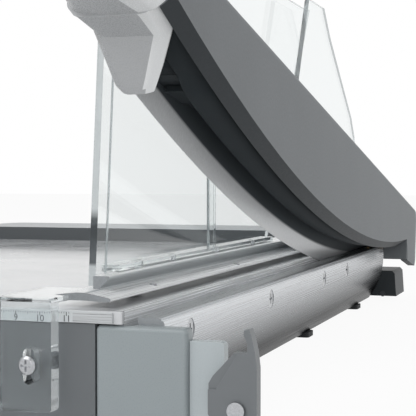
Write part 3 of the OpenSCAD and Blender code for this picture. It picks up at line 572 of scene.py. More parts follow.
# Each finish by the record's slot name, or by a name of its own
FINISHES: dict[str, Coat | Brushed | GroundBlade | Clear] = {
    "table_grey": Coat("table_powder_coat", (200, 202, 204), 0.12, 0.0002, 25.0, 0.1, 0.12, 0.15),
    "pan_grey": Moulding("pan_moulding", (92, 96, 99), 0.5),
    "panel_grey": Moulding("panel_moulding", (100, 104, 107), 0.42),
    "clear_strip": Moulding("scale_strip", (196, 200, 202), 0.25, 0.04),
    "fence_dark": Coat("fence_coat", (75, 79, 82), 0.38, 0.08),
    # A lighter copy of the fence's coat for its top face: painted light.
    "fence_top_painted_light": Coat("fence_top_painted_light_coat", (171, 175, 178), 0.38, 0.08),
    "screw_steel": Brushed("zinc_screw", (182, 184, 187), Grain.EVEN, 0.24, 0.06, relief=0.02),
    "screw_black": Brushed("black_screw", (60, 62, 65), Grain.EVEN, 0.4),
    "spring_steel": Brushed("spring_wire", (165, 167, 170), Grain.EVEN, 0.3),
    "blade_steel": Brushed("fixed_blade_steel", (236, 238, 240), roughness=0.26, contrast=0.3, metal=0.25),
    "end_steel": Brushed("end_plate_steel", (186, 189, 191), Grain.ACROSS, 0.3, contrast=0.25, metal=0.5),
    "blade_ground": GroundBlade("swing_blade_steel", (78, 84, 88), (236, 238, 240), BLADE_CENTRE),
    # The rail's side darkens and turns fully metallic towards its foot: painted shade.
    "rail_aluminium": Brushed("rail_anodised_painted_shade", (240, 243, 246), roughness=0.28, contrast=0.10,
                              relief=0.10, foot=(32, 35, 38), metal=0.3, rim=0.55),
    "rail_top": Brushed("rail_top_anodised", (172, 176, 179), roughness=0.3, contrast=0.2,
                        metal=0.8, rim=0.7),
    "blade_end": Brushed("sawn_end_steel", (138, 142, 145), Grain.EVEN, 0.35, contrast=0.1,
                         relief=0.05, metal=0.5),
    "clamp_aluminium": Brushed("clamp_anodised", (246, 248, 249), roughness=0.3, spread=0.12,
                               contrast=0.2, metal=0.1),
    # A darker copy of the clamp's anodised finish for the riser's face: painted shade.
    "riser_painted_shade": Brushed("riser_painted_shade_anodised", (206, 210, 212), roughness=0.34, spread=0.12,
                           contrast=0.2, metal=0.7, rim=0.8),
    "cap_grey": Moulding("end_cap_moulding", (145, 153, 156), 0.30, 0.06, wear=0.6),
    "bracket_grey": Moulding("bracket_moulding", (176, 184, 187), 0.3, 0.06, wear=0.5),
    "cast_black": Coat("pivot_casting", (46, 51, 54), 0.45, 0.5, 1400.0, 0.2, 0.2),
    "rubber_black": Moulding("black_rubber", (30, 32, 34), 0.75, 0.25, 1800.0, 0.0),
    "cover_grey": Coat("cover_coat", (114, 118, 121), 0.45, 0.05, wear=0.12, sheen=0.12),
    # A darker copy of the cover's coat for its faces that look down or inward: painted shade.
    "cover_painted_shade": Coat("cover_painted_shade_coat", (54, 58, 61), 0.5, 0.06, wear=0.05, sheen=0.12),
    "beam_grey": Coat("beam_coat", (46, 51, 54), 0.55, 0.2, wear=0.0, sheen=0.1),
    # A dark moulding whose darkness is painted shade in the arm's hollow.
    "inner_dark": Moulding("hollow_painted_shade_moulding", (46, 51, 54), 0.7, 0.1, wear=0.0, sheen=0.08),
    "bush_brass": Brushed("bush_bronze", (181, 145, 90), Grain.ACROSS, 0.3),
    "handle_light": Moulding("handle_moulding", (172, 174, 176), 0.28, 0.05, wear=0.5),
    # A lighter copy of the handle's moulding for its lower right chamfers: a painted highlight.
    "handle_painted_highlight": Moulding("handle_painted_highlight_moulding", (226, 228, 229), 0.25, 0.04, wear=0.3),
    "latch_grey": Coat("latch_coat", (111, 115, 118), 0.38, 0.1, 1100.0, 0.35),
    "clear_guard": Clear("guard_acrylic"),
    "clear_edge": Clear("guard_cut_edge", (178, 184, 186), 0.12, 0.55, 1.12, 0.7),
    # The pane's front edge carries a painted dark reflection from 60.5 to 78.5 mm up.
    "clear_front": Clear("guard_front_edge", (188, 194, 196), 0.12, 0.4, 1.12, 0.7, (0.0605, 0.0785)),
    "clear_block": Clear("bracket_acrylic", (224, 228, 229), 0.0, 1.0, 1.33),
    # A pale grey, chosen to lift the shade and the dark reflection under the clamp: painted light.
    "pad_soft": Moulding("clamp_pad_rubber", (150, 153, 154), 0.7, 0.25, 1800.0, 0.0),
    "figure_ink": Moulding("figure_ink", (70, 74, 77), 0.5, 0.05, wear=0.0),
}


@cache
def material(key: str) -> bpy.types.Material:
    """Gives the material of a finish, built at its first use."""
    return FINISHES[key].make()


def dress(node: str, finish: str, bevel: float = 0.0, segments: int = 2) -> Piece:
    """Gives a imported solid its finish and, where asked, softens its edges.

    Args:
        node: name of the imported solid.
        finish: key of the finish.
        bevel: width of the softened edges in millimetres, or 0 for none.
        segments: steps across a softened edge.

    Returns:
        The solid's object.
    """
    piece = frame["nodes"][node]
    piece.data.materials.clear()
    piece.data.materials.append(material(finish))
    if bevel:
        piece.modifiers.new("weld", "WELD").merge_threshold = WELD
        cut = piece.modifiers.new("soft_edges", "BEVEL")
        cut.width, cut.segments = bevel * MM, segments
        cut.limit_method, cut.angle_limit = "ANGLE", radians(SOFT_ANGLE)
        even = piece.modifiers.new("even_shading", "WEIGHTED_NORMAL")
        even.keep_sharp, even.weight = False, FLAT_WEIGHT
    LOG.info("dressed %s in %s", node, finish)
    return piece


def paint(piece: Piece, finish: str, chosen: Callable[[Face], bool]) -> None:
    """Gives some faces of a piece a finish of their own.

    Args:
        piece: the object.
        finish: key of the finish.
        chosen: says of a face whether it takes the finish.
    """
    piece.data.materials.append(material(finish))
    index = len(piece.data.materials) - 1
    for face in piece.data.polygons:
        if chosen(face):
            face.material_index = index


def linked(name: str, data: bpy.types.ID) -> Piece:
    """Makes an object that is linked into the scene."""
    bpy.context.scene.collection.objects.link(item := bpy.data.objects.new(name, data))
    return item


def build(name: str, shell: Shell, body: str, finish: str, smooth: bool = True) -> Piece:
    """Makes a new piece from points and faces and sets it on a body.

    Args:
        name: the piece's name.
        shell: its points in the model's frame, in metres, and its faces.
        body: the body that it rides on.
        finish: key of the finish.
        smooth: whether its faces are shaded smooth.

    Returns:
        The new object.
    """
    points, faces = shell
    mesh = bpy.data.meshes.new(name)
    mesh.from_pydata([tuple(p) for p in points], [], [tuple(f) for f in faces])
    mesh.validate()
    sides = bmesh.new()
    sides.from_mesh(mesh)
    bmesh.ops.recalc_face_normals(sides, faces=sides.faces)
    sides.to_mesh(mesh)
    sides.free()
    mesh.polygons.foreach_set("use_smooth", [smooth] * len(mesh.polygons))
    mesh.update()
    piece = linked(name, mesh)
    mesh.materials.append(material(finish))
    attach(piece, body)
    LOG.info("built %s on %s: %d points", name, body, len(points))
    return piece


def joined(shells: Iterable[Shell]) -> Shell:
    """Joins the points and faces of several forms.

    Args:
        shells: points and faces of each form.

    Returns:
        All points and faces, numbered on.
    """
    points: list[Vector] = []
    faces: list[list[int]] = []
    for more, spans in shells:
        faces += [[len(points) + k for k in face] for face in spans]
        points += more
    return points, faces


def skin(rings: Sequence[Sequence[Vector]]) -> Shell:
    """Spans quads between rings of equal count, with flat ends.

    Args:
        rings: rows of points.

    Returns:
        Points and faces.
    """
    count = len(rings[0])
    points = [p for ring in rings for p in ring]
    last = len(points) - count
    faces = []
    for start in range(0, last, count):
        for j, k in zip(range(count), [*range(1, count), 0]):
            faces.append([start + j, start + k, start + count + k, start + count + j])
    faces.append(list(range(count))[::-1])
    faces.append(list(range(last, last + count)))
    return points, faces


def rounded(ring: Sequence[Sequence[float]], cut: float) -> list[Vector]:
    """Cuts the corners of a ring twice, which rounds it.

    Args:
        ring: the ring's points.
        cut: share of each side that is cut off at each end.

    Returns:
        The rounded ring, with four times the points.
    """
    points = [Vector(p) for p in ring]
    for _ in range(2):
        points = [q for a, b in zip(points, points[1:] + points[:1])
                  for q in (a.lerp(b, cut), a.lerp(b, 1 - cut))]
    return points


def eased(span: Sequence[Vector], t: float) -> Vector:
    """Gives a point on a smooth curve that never bulges past the ends of its span.

    Args:
        span: the point before the span, its start, its end and the point after it.
        t: place in the span, from 0 to 1.

    Returns:
        The point, held between the span's ends on each axis.
    """
    p, q, r, s = span
    out = 0.5 * ((2 * q) + (r - p) * t + (2 * p - 5 * q + 4 * r - s) * t * t
                 + (3 * q - p - 3 * r + s) * t ** 3)
    return Vector(min(max(out[k], min(q[k], r[k])), max(q[k], r[k])) for k in range(3))


@dataclass
class Base:
    """The table, its lip with the scale, the pan, the front panel and the rear fence."""

    zero_x: float = -132.0
    left_x: float = -316.0
    marks_end: float = -20.5
    strip_high: float = 45.1
    face_y: float = -0.8
    seat: float = 0.02
    tick_depth: float = 0.05
    tick_tall: tuple[float, float, float] = (1.5, 1.0, 0.6)
    tick_half: Pair = (0.14, 0.09)
    figure_size: float = 3.55
    figure_low: float = 41.45
    plate_low: Pair = (-19.4, 41.25)
    plate_high: Pair = (-3.5, 45.5)
    plate_rows: tuple[Pair, ...] = ((-0.8, 0.0), (-0.93, 0.0), (-1.0, 0.08))
    plate_round: float = 0.04

    def dress(self) -> None:
        """Gives the base's solids their finishes."""
        dress("table_plate", "table_grey", 0.35)
        dress("base_pan", "pan_grey")
        dress("front_panel", "panel_grey", 0.4)
        dress("front_scale_strip", "clear_strip", 0.15)
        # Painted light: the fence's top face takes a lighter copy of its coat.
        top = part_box("rear_fence")[1].z - 0.5 * MM
        paint(dress("rear_fence", "fence_dark"), "fence_top_painted_light",
              lambda face: face.normal.z > FACING and face.center.z > top)
        for node in ("fence_screws", "foot_screws", "rear_pane_screws", "clamp_guide_pins"):
            dress(node, "screw_steel")
        dress("guide_screw", "screw_steel", 0.12)
        dress("rubber_feet", "rubber_black", 0.4)

    def fitting(self, unit: float) -> range:
        """Gives the numbers of the marks that fit on the lip, each a unit of millimetres from the next."""
        low, high = self.left_x - self.zero_x, self.marks_end - self.zero_x
        return range(ceil(low / unit), floor(high / unit) + 1)

    def ticks(self) -> None:
        """Builds the scale's ticks: long at each centimetre, middling at each half, else short."""
        marks: list[Shell] = []
        for step in self.fitting(1):
            x = self.zero_x + step
            on_figure, on_half = step % TICKS_PER_FIGURE == 0, step % (TICKS_PER_FIGURE // 2) == 0
            low = self.strip_high - self.tick_tall[0 if on_figure else 1 if on_half else 2]
            half = self.tick_half[0 if on_figure else 1]
            front, back = self.face_y - self.tick_depth, self.face_y + self.seat
            outline = ((x - half, front), (x + half, front), (x + half, back), (x - half, back))
            heights = (low, self.strip_high - self.seat)
            marks.append(skin([[PLACE.at(*p, z) for p in outline] for z in heights]))
        build("scale_ticks", joined(marks), "base", "figure_ink", False)

    def figures(self) -> None:
        """Builds the scale's plain figures, one for each centimetre from the zero mark."""
        figures: list[Shell] = []
        for k in self.fitting(TICKS_PER_FIGURE):
            curve = bpy.data.curves.new(f"figure_{k}", "FONT")
            curve.body = str(abs(k))
            curve.size = self.figure_size * MM
            curve.align_x = "CENTER"
            curve.extrude = self.tick_depth * MM
            maker = linked(f"figure_{k}", curve)
            bpy.context.view_layer.update()
            mesh = bpy.data.meshes.new_from_object(maker)
            spot = PLACE.at(self.zero_x + k * TICKS_PER_FIGURE, self.face_y, self.figure_low)
            turn = Matrix.Translation(spot) @ Matrix.Rotation(radians(90), 4, "X")
            figures.append(([turn @ v.co for v in mesh.vertices], [list(f.vertices) for f in mesh.polygons]))
            bpy.data.batch_remove((maker, curve, mesh))
        build("scale_figures", joined(figures), "base", "figure_ink", False)

    def end_plate(self) -> None:
        """Builds the steel plate that closes the lip beside the fixed blade, with rounded corners."""
        (left, low), (right, high) = self.plate_low, self.plate_high
        rings = []
        for y, inset in self.plate_rows:
            x0, x1, z0, z1 = left + inset, right - inset, low + inset, high - inset
            ring = rounded([(x0, y, z0), (x1, y, z0), (x1, y, z1), (x0, y, z1)], self.plate_round)
            rings.append([PLACE.at(*p) for p in ring])
        build("lip_end_plate", skin(rings), "base", "end_steel", False)

    def make(self) -> None:
        """Dresses the base and adds its scale and the lip's end plate."""
        self.dress()
        self.end_plate()
        self.ticks()
        self.figures()


@dataclass
class CutSide:
    """The rail, the fixed blade, the end cap, the pivot block and the latch's bracket."""

    def make(self) -> None:
        """Gives the solids along the cut their finishes."""
        for node, finish in (("side_rail", "rail_aluminium"), ("lower_blade", "blade_steel")):
            paint(dress(node, finish), "blade_end", lambda face: abs(face.normal.y) > FACING)
        paint(frame["nodes"]["side_rail"], "rail_top", lambda face: face.normal.z > FACING)
        dress("front_end_cap", "cap_grey")
        dress("rear_pivot_block", "cast_black", 0.5)
        dress("latch_bracket", "bracket_grey", 0.6, 3)
        for node in ("lower_blade_screws", "rail_screws", "pivot_bolt", "pivot_nut", "latch_pin"):
            dress(node, "screw_steel")
        dress("pivot_block_screws", "screw_black")


@dataclass
class Springs:
    """The two return springs of the clamp, as wound wire."""

    x: float = -23.0
    rows: tuple[float, ...] = (70.0, 370.0)
    seat_z: float = 35.9
    top_z: float = 48.4
    travel: float = 2.0
    radius: float = 3.8
    wire: float = 0.5
    turns: int = 5
    turn_steps: int = 24
    wire_sides: int = 8

    def coil(self, y: float) -> Shell:
        """Winds the wire of one spring.

        Args:
            y: place of the spring along the cut.

        Returns:
            Points and faces.
        """
        rings = []
        steps = self.turns * self.turn_steps
        for i in range(steps + 1):
            a = 2 * pi * i / self.turn_steps
            z = self.seat_z + self.wire + i * (self.top_z - self.seat_z - 2 * self.wire) / steps
            around = [(self.radius + self.wire * cos(b), self.wire * sin(b))
                      for b in (2 * pi * j / self.wire_sides for j in range(self.wire_sides))]
            rings.append([PLACE.at(self.x + r * cos(a), y + r * sin(a), z + rise) for r, rise in around])
        return skin(rings)

    def make(self) -> None:
        """Builds both springs as one piece on the base."""
        shell = joined(self.coil(y) for y in self.rows)
        piece = build("return_springs", shell, "base", "spring_steel")
        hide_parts("clamp_springs")
        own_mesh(piece)


@dataclass
class Arm:
    """The swinging arm: cover, beam, blade and handle.

    The handle's sides turn in at the shares brow of their height and the shares crown of its width, and
    grip_steps are the steps in each span of its grip.

    The lining follows the cover's rim, an arc of rim_r about rim_y. It stays liner_gap above the rim and
    rises by liner_lift more at the front.
    """

    cover_top: float = 74.4
    cover_right: float = 35.0
    cover_left: float = -3.4
    cover_front: float = -50.0
    inner_right: float = 29.8
    inner_drop: float = 3.1
    tip_y: float = -142.0
    tip_low: float = 53.0
    sole_right: float = 5.6
    sole_left: float = 4.5
    sole_lift: float = 4.0
    brow: Pair = (0.6, 0.88)
    crown: Pair = (0.1, 0.28)
    grip_steps: tuple[int, ...] = (5, 5, 5, 5, 5, 3, 3)
    handle_bevel: float = 0.5
    handle_angle: float = 32.0
    skirt_round: float = 0.13
    grip_round: float = 0.25
    highlight_turn: Pair = (0.12, 0.93)
    highlight_down: float = -0.15
    shade_down: float = -0.35
    shade_in: float = -0.5
    rim_r: float = 1250.0
    rim_y: float = 235.0
    rim_low: float = 18.3
    liner_y: Pair = (-47.0, 461.0)
    liner_x: Pair = (16.0, 29.9)
    liner_top: float = 66.0
    liner_gap: float = 1.3
    liner_lift: float = 3.2
    lift_y: Pair = (6.0, 16.0)
    liner_edge: float = 1.0
    liner_steps: int = 96
    filler_y: Pair = (-13.0, 11.95)
    filler_x: Pair = (2.9, 16.1)
    filler_low: float = 46.4

    def dress(self) -> None:
        """Gives the arm's solids their finishes."""
        turn = Matrix.Rotation(radians(PLACE.arm_rest), 3, "X")

        def shaded(face: Face) -> bool:
            """Says whether a face of the closed arm looks down or to the table, and so takes the painted
            shade.
            """
            closed = turn @ face.normal
            return closed.z < self.shade_down or closed.x < self.shade_in

        # Painted shade: those faces take a darker copy of the cover's coat.
        paint(dress("arm_cover", "cover_grey"), "cover_painted_shade", shaded)
        dress("arm_beam", "beam_grey")
        dress("upper_blade", "blade_ground")
        dress("blade_screws", "beam_grey")
        dress("pivot_bush", "bush_brass")
        # The rubber bumper takes the hollow's painted shade, so that it merges with it.
        dress("arm_bumper", "inner_dark", 0.4)
        dress("handle_screws", "screw_steel")

    def ring(self, y: float, x0: float, x1: float, s0: float, s1: float, z0: float, zs: float,
             z1: float, lift: float | None = None) -> list[Point]:
        """Gives one cross-section of the handle at y, from its flat sole to its rounded top.

        Args:
            y: place along the closed arm.
            x0: left side.
            x1: right side.
            s0: left end of the sole.
            s1: right end of the sole.
            z0: height of the sole.
            zs: height at which the sides are widest.
            z1: height of the top.
            lift: height of the chamfer on the sole's right, where it isn't sole_lift.

        Returns:
            Twelve points.
        """
        side, brow = (zs + (z1 - zs) * share for share in self.brow)
        near, far = ((x1 - x0) * share for share in self.crown)
        right = (min(s1 + self.sole_right, x1), z0 + (self.sole_lift if lift is None else lift))
        row = [(s0, z0), (s1, z0), right, (x1, zs), (x1, side), (x1 - near, brow), (x1 - far, z1),
               (x0 + far, z1), (x0 + near, brow), (x0, side), (x0, zs),
               (max(s0 - self.sole_left, x0), z0 + self.sole_lift)]
        return [(x, y, z) for x, z in row]

    def skirt(self) -> list[list[Point]]:
        """Gives the sections of the handle's skirt, which lies in the cover over the blade's tip.

        Returns:
            The sections from the rear forwards.
        """
        low, mid, right = self.cover_top - self.inner_drop, self.cover_front, self.inner_right
        return [self.ring(*row) for row in (
            (-0.8, -1.5, 9.3, 3, 6.5, 36, 51, low, 1.0),
            (-15.5, -0.8, 17.0, 5.3, 12.6, 31.7, 50, low, 1.0),
            (-17.5, -0.8, 18.6, 5.3, 13.5, 32.8, 50, low, 2.0),
            (-21.5, -0.9, 21.8, 5.0, 16.2, 36.0, 51, low),
            (-34, -1.2, 29.7, 3.4, 24.4, 47, 58, low),
            (mid + 1.9, -2.8, right, 1, 25, 49, 58, low),
            (mid - 0.1, -3, right, 0.5, 25, 49, 58, low),
        )]

    def grip(self) -> list[list[Vector]]:
        """Gives the sections of the root and the grip, with eased ones between those that set the form.

        Returns:
            The sections from the cover forwards.
        """
        mid, top = self.cover_front, self.cover_top
        rows = [[Vector(p) for p in self.ring(*row)] for row in (
            (mid - 0.15, self.cover_left, self.cover_right, 2, 27, 49.5, 58, top),
            (mid - 14, -1, self.cover_right - 3, 5, 25, 49, 56, top - 1),
            (mid - 30, 2, 30, 7, 25, 48, 55, top - 2),
            (mid - 52, 1, 31, 7, 25, 46, 53, top - 3),
            (mid - 74, 2, 30, 8, 24, 46, 53, top - 4),
            (self.tip_y + 6, 4, 28, 10, 22, 48, 54, top - 7),
            (self.tip_y + 1.5, 8, 24, 13, 19, 51, 55.4, top - 11),
            (self.tip_y, 11, 21, 15, 17, self.tip_low, 57.2, top - 14),
        )]
        fine = []
        for i, steps in enumerate(self.grip_steps):
            before, after = rows[max(i - 1, 0)], rows[min(i + 2, len(rows) - 1)]
            for k in range(steps):
                fine.append([eased(span, k / steps) for span in zip(before, rows[i], rows[i + 1], after)])
        return fine + [rows[-1]]

    def handle(self) -> None:
        """Builds the handle from its skirt, its root and its rounded grip."""
        rings = [rounded(row, self.skirt_round) for row in self.skirt()]
        rings += [rounded(row, self.grip_round) for row in self.grip()]
        shell = skin([[PLACE.raised(*p) for p in ring] for ring in rings])
        piece = build("handle_shell", shell, "blade_arm", "handle_light")
        # Painted highlight: chamfers that turn right and down take the lighter copy of the moulding.
        least, most = self.highlight_turn
        paint(piece, "handle_painted_highlight",
              lambda face: least < face.normal.x < most and face.normal.z < self.highlight_down)
        cut = piece.modifiers.new("soft_edges", "BEVEL")
        cut.width, cut.segments = self.handle_bevel * MM, 2
        cut.limit_method, cut.angle_limit = "ANGLE", radians(self.handle_angle)
        piece.modifiers.new("even_shading", "WEIGHTED_NORMAL").keep_sharp = False
        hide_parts("handle_grip")

    def lining(self) -> None:
        """Builds the dark lining that closes the cover's hollow along the curve of its lower edge; its dark
        is painted shade.
        """
        (left, right), top, edge = self.liner_x, self.liner_top, self.liner_edge
        front, back = self.liner_y
        rings = []
        for i in range(self.liner_steps + 1):
            y = front + (back - front) * i / self.liner_steps
            t = min(max((self.lift_y[1] - y) / (self.lift_y[1] - self.lift_y[0]), 0.0), 1.0)
            sweep = self.rim_r - sqrt(self.rim_r ** 2 - (y - self.rim_y) ** 2)
            low = self.rim_low + sweep + self.liner_gap + self.liner_lift * t * t * (3 - 2 * t)
            row = ((left, low + edge), (left + edge, low), (right, low), (right, top), (left, top))
            rings.append([PLACE.raised(x, y, z) for x, z in row])
        (x0, x1), z0 = self.filler_x, self.filler_low
        filler = [[PLACE.raised(x, y, z) for x, z in ((x0, z0), (x1, z0), (x1, top), (x0, top))]
                  for y in self.filler_y]
        shell = joined((skin(rings), skin(filler)))
        piece = build("arm_lining", shell, "blade_arm", "inner_dark", False)
        piece.modifiers.new("even_shading", "WEIGHTED_NORMAL").keep_sharp = False
        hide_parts("arm_inner_cover")

    def make(self) -> None:
        """Dresses the arm and builds its handle and its lining."""
        self.dress()
        self.handle()
        self.lining()


@dataclass
class Clamp:
    """The pressing bar with its pad, the clear guard and the front bracket.

    The pane's corner is cut along corner, whose rows are the way back from its front and down from its top.
    """

    front_y: float = 8.0
    step_y: float = 22.5
    heel_y: float = 62.0
    back_y: float = 435.0
    bar_spans: int = 8
    end_ring: float = 0.01
    low_z: float = 48.2
    top_z: float = 56.6
    left_x: float = -31.0
    nose_x: float = -8.0
    riser_shade_z: float = 51.2
    riser_shade_turn: float = 0.12
    pin_x: float = -23.0
    pin_rows: tuple[float, ...] = (70.0, 370.0)
    pin_hole: float = 2.62
    nose_screws: tuple[float, ...] = (60.0, 180.0, 300.0, 420.0)
    nose_screw_x: float = -10.9
    nose_hole: float = 1.72
    drill_z: Pair = (40.0, 70.0)
    drill_sides: int = 32
    pane_x: float = 26.5
    pane_t: float = 3.0
    pane_top: float = 214.0
    pane_low: float = 51.3
    pane_front: float = 36.0
    pane_lean: float = 0.1
    pane_foot: Pair = (60.5, 296.0)
    pane_back: float = 405.0
    corner: tuple[Pair, ...] = ((26.0, 0.0), (20.0, 1.4), (5.0, 11.0), (0.6, 17.0))
    corner_low: float = 190.0
    rim_y: Pair = (9.2, 10.2)
    rim_top: float = 200.0
    rim_out: Pair = (-0.2, 0.45)
    rib_y: Pair = (190.0, 193.0)
    rib_out: tuple[float, ...] = (-5.0, -4.4, -0.5, -0.02)
    rib_fit: float = 0.1
    pane_fit: float = 0.02
    front_area: float = 0.0002

    def nose(self) -> Section:
        """Draws the nose: a wedge that thins towards the cut, with two fine lines.

        Returns:
            Its section in X and Z.
        """
        low, tip, left = self.low_z, self.nose_x, self.left_x
        return [(-17.4, low + 0.3), (-12.4, low), (tip - 0.5, low), (tip, low + 0.4), (tip, 49.3),
                (tip - 0.35, 49.62), (-9.6, 49.95), (-9.75, 49.8), (-9.95, 50.0), (-15.6, 51.0),
                (-15.75, 50.85), (-15.95, 51.05), (-17.4, 51.3), (-19.0, 51.5), (-22.0, 51.5), (left, 50.5),
                (left, low + 0.3)]

    def riser(self) -> Section:
        """Draws the riser: its face is hollowed, so that fingers find a hold.

        Returns:
            Its section in X and Z.
        """
        top = self.top_z
        hollow = [(-18.6 + 3.9 * sin(t) ** 2.2, 51.3 + 5.0 * t / (pi / 2))
                  for t in (k * pi / 18 for k in range(10))]
        return [(-21.6, 50.9), (-18.2, 50.9), *hollow, (-14.75, top - 0.08), (-15.1, top), (-17.6, top),
                (-17.75, top - 0.2), (-17.95, top), (-21.6, top)]

    def heel(self) -> Section:
        """Gives the section in X and Z of the heel behind the riser, which the pane stands on."""
        left, top = self.left_x, self.top_z
        return [(left + 0.4, 50.3), (-21.4, 50.9), (-21.4, top), (left + 0.8, top), (left + 0.1, top - 0.7)]

    def bar(self) -> None:
        """Builds the pressing bar from its three sections and drills it for the pins and the screws."""
        forms: list[Shell] = []
        starts = (self.front_y, self.step_y, self.heel_y)
        for section, y in zip((self.nose(), self.riser(), self.heel()), starts):
            reach, count = self.back_y - y, self.bar_spans
            rows = [y, y + self.end_ring] + [y + reach * k / count for k in range(1, count + 1)]
            forms.append(skin([[PLACE.at(x, r, z) for x, z in section] for r in rows]))
        piece = build("pressing_bar", joined(forms), "clamp", "clamp_aluminium", False)
        # Painted shade: the riser's faces that turn to the cut take the darker copy of the bar's finish.
        paint(piece, "riser_painted_shade",
              lambda face: face.normal.x > self.riser_shade_turn and face.center.z > self.riser_shade_z * MM)
        paint(piece, "blade_end", lambda face: abs(face.normal.y) > FACING)
        self.drill(piece, [(self.pin_x, y, self.pin_hole) for y in self.pin_rows]
                   + [(self.nose_screw_x, y, self.nose_hole) for y in self.nose_screws])
        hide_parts("clamp_bar")

    def drill(self, piece: Piece, holes: Sequence[Point]) -> None:
        """Cuts upright round holes through a piece and keeps the result as its mesh.

        Args:
            piece: the piece.
            holes: X, Y and radius of each hole, in millimetres.
        """
        angles = [2 * pi * k / self.drill_sides for k in range(self.drill_sides)]
        points, faces = joined(skin([[PLACE.at(x + r * cos(a), y + r * sin(a), z) for a in angles]
                                     for z in self.drill_z]) for x, y, r in holes)
        mesh = bpy.data.meshes.new("drill")
        mesh.from_pydata([tuple(p) for p in points], [], faces)
        cutter = linked("drill", mesh)
        cut = piece.modifiers.new("holes", "BOOLEAN")
        cut.operation, cut.object, cut.solver = "DIFFERENCE", cutter, "EXACT"
        cut.use_self = True
        bpy.context.view_layer.update()
        shaped = bpy.data.meshes.new_from_object(piece.evaluated_get(bpy.context.evaluated_depsgraph_get()))
        piece.modifiers.clear()
        piece.data = shaped
        bpy.data.batch_remove((cutter, mesh))

    def front(self, z: float) -> float:
        """Gives the pane's front edge at a height."""
        return self.pane_front + self.pane_lean * (z - self.top_z)

    def pane(self) -> None:
        """Builds the clear upright pane with its corner cut, its front rim and its middle rib."""
        right, left = -self.pane_x, -self.pane_x - self.pane_t
        low, top, foot = self.pane_low, self.pane_top, self.top_z + self.pane_fit
        step, heel = self.pane_foot
        sheet = [(self.front(low), low), (step, low), (step, foot), (heel, foot), (self.pane_back, top)]
        sheet += [(self.front(top) + back, top - down) for back, down in self.corner]
        sheet += [(self.front(self.corner_low), self.corner_low)]
        rim = [(self.front(z) + self.rim_y[k], z)
               for k, z in ((0, low), (1, low), (1, self.rim_top), (0, self.rim_top))]
        rib_low, (near, far) = self.top_z + self.rib_fit, self.rib_y
        rib = [(near, rib_low), (far, rib_low), (far, top), (near, top)]
        forms = ((sheet, (left, right)), (rim, [right + out for out in self.rim_out]),
                 (rib, [right + out for out in self.rib_out]))
        shell = joined(skin([[PLACE.at(x, *p) for p in outline] for x in rows]) for outline, rows in forms)
        piece = build("guard_front_pane", shell, "clamp", "clear_guard", False)
        before, behind = PLACE.at(0, near - self.rib_fit, 0).y, PLACE.at(0, far + self.rib_fit, 0).y
        wide = (self.pane_top - self.top_z) * MM * MM

        def is_edge(face: Face) -> bool:
            """Says whether a face is a cut edge, and not a wide face of the sheet or of the rib."""
            on_rib = before < face.center.y < behind and face.area > wide
            return abs(face.normal.x) < SIDEWAYS and not on_rib

        paint(piece, "clear_edge", is_edge)
        paint(piece, "clear_front", lambda face: is_edge(face) and face.normal.y < -FACING
              and face.area > self.front_area and face.center.y < before)
        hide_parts("guard_pane")

    def make(self) -> None:
        """Builds the pressing bar and the pane and gives the clamp's other solids their finishes."""
        self.bar()
        self.pane()
        dress("clamp_pad", "pad_soft")
        rear = dress("guard_rear_pane", "clear_guard")
        paint(rear, "clear_edge", lambda face: abs(face.normal.x) < SIDEWAYS)
        dress("guard_foot", "clear_guard")
        dress("front_bracket", "clear_block", 0.3)
        dress("guard_screws", "screw_steel")


@dataclass
class Latch:
    """The hook at the front right."""

    def make(self) -> None:
        """Gives the latch its finish."""
        dress("latch_hook", "latch_grey", 0.5, 3)


@dataclass(frozen=True)
class Lamp:
    """A soft lamp: place and aim in millimetres, width and height in metres, power in watts."""

    name: str
    place: Point
    aim: Point
    wide: float
    tall: float
    power: float


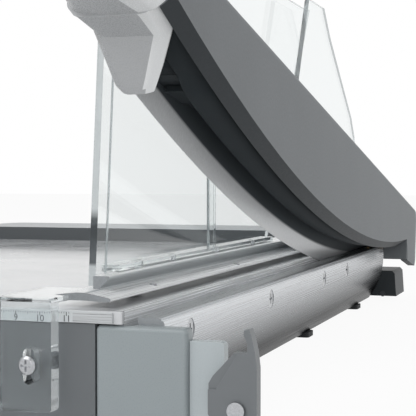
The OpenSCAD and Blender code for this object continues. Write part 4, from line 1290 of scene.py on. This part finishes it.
@dataclass
class Studio:
    """The floor, the light and the camera."""

    eye: Point = (160.0, -382.0, 94.5)
    yaw: float = 18.36
    pitch: float = 1.47
    lens: float = 97.8
    sensor: float = 36.0
    ambient: float = 0.45
    floor_half: float = 6.0
    floor_z: float = -0.0004
    floor_tone: Colour = (0.86, 0.86, 0.86, 1.0)
    floor_glow: float = 0.94
    floor_roughness: float = 0.9
    clip: Pair = (0.01, 50.0)
    lamps: tuple[Lamp, ...] = (
        Lamp("key_lamp", (-900.0, -900.0, 1500.0), (0.0, 150.0, 60.0), 1.4, 1.4, 16.0),
        Lamp("front_lamp", (250.0, -2300.0, 500.0), (0.0, 0.0, 60.0), 2.0, 0.8, 17.0),
        Lamp("side_lamp", (1300.0, 700.0, 560.0), (20.0, 300.0, 30.0), 1.7, 0.22, 4.2),
    )

    def floor(self) -> None:
        """Builds the pale floor, which looks nearly white and still takes the machine's shadow."""
        mesh = bpy.data.meshes.new("floor")
        a = self.floor_half
        mesh.from_pydata([(-a, -a, 0), (a, -a, 0), (a, a, 0), (-a, a, 0)], [], [(0, 1, 2, 3)])
        floor = linked("floor", mesh)
        floor.location.z = self.floor_z
        n = Surface("pale_floor")
        n.fill(n.shader, {"Base Color": self.floor_tone, "Roughness": self.floor_roughness,
                          "Specular IOR Level": 0.0})
        glow = n.ranged(n.seen(), 0.0, self.floor_glow, 0.0, 1.0)
        n.switch(glow, n.shader, n.add("Emission"), n.output)
        mesh.materials.append(n.material)

    def world(self) -> None:
        """Sets the plain surround: white where it is seen, softer where it lights."""
        world = bpy.data.worlds.new("plain_surround")
        world.use_nodes = True
        bpy.context.scene.world = world
        world.node_tree.nodes.clear()
        n = Nodes(world.node_tree)
        light = n.add("Background", {"Color": WHITE, "Strength": self.ambient})
        white = n.add("Background", {"Color": WHITE, "Strength": 1.0})
        n.switch(n.seen(), light, white, n.add("OutputWorld"))

    def lights(self) -> None:
        """Sets the soft lamps."""
        for lamp in self.lamps:
            data = bpy.data.lights.new(lamp.name, "AREA")
            data.shape = "RECTANGLE"
            data.size, data.size_y, data.energy = lamp.wide, lamp.tall, lamp.power
            item = linked(lamp.name, data)
            item.location = PLACE.at(*lamp.place)
            item.rotation_euler = (PLACE.at(*lamp.aim) - item.location).to_track_quat("-Z", "Y").to_euler()

    def camera(self) -> None:
        """Sets the camera at the photograph's angle."""
        data = bpy.data.cameras.new("camera")
        data.lens, data.sensor_width = self.lens, self.sensor
        data.clip_start, data.clip_end = self.clip
        camera = linked("camera", data)
        camera.location = PLACE.at(*self.eye)
        camera.rotation_euler = Euler((radians(90 - self.pitch), 0.0, radians(self.yaw)))
        bpy.context.scene.camera = camera

    def make(self) -> None:
        """Sets the whole studio."""
        bpy.context.scene.view_settings.view_transform = "Standard"
        self.camera()
        self.floor()
        self.world()
        self.lights()


def main() -> None:
    """Builds the studio and the sub-assemblies in order."""
    logging.basicConfig(level=logging.INFO, format="%(name)s: %(message)s")
    for part in (Studio(), Base(), CutSide(), Springs(), Arm(), Clamp(), Latch()):
        part.make()
        LOG.info("%s is ready", type(part).__name__)


if __name__ == "__main__":
    main()
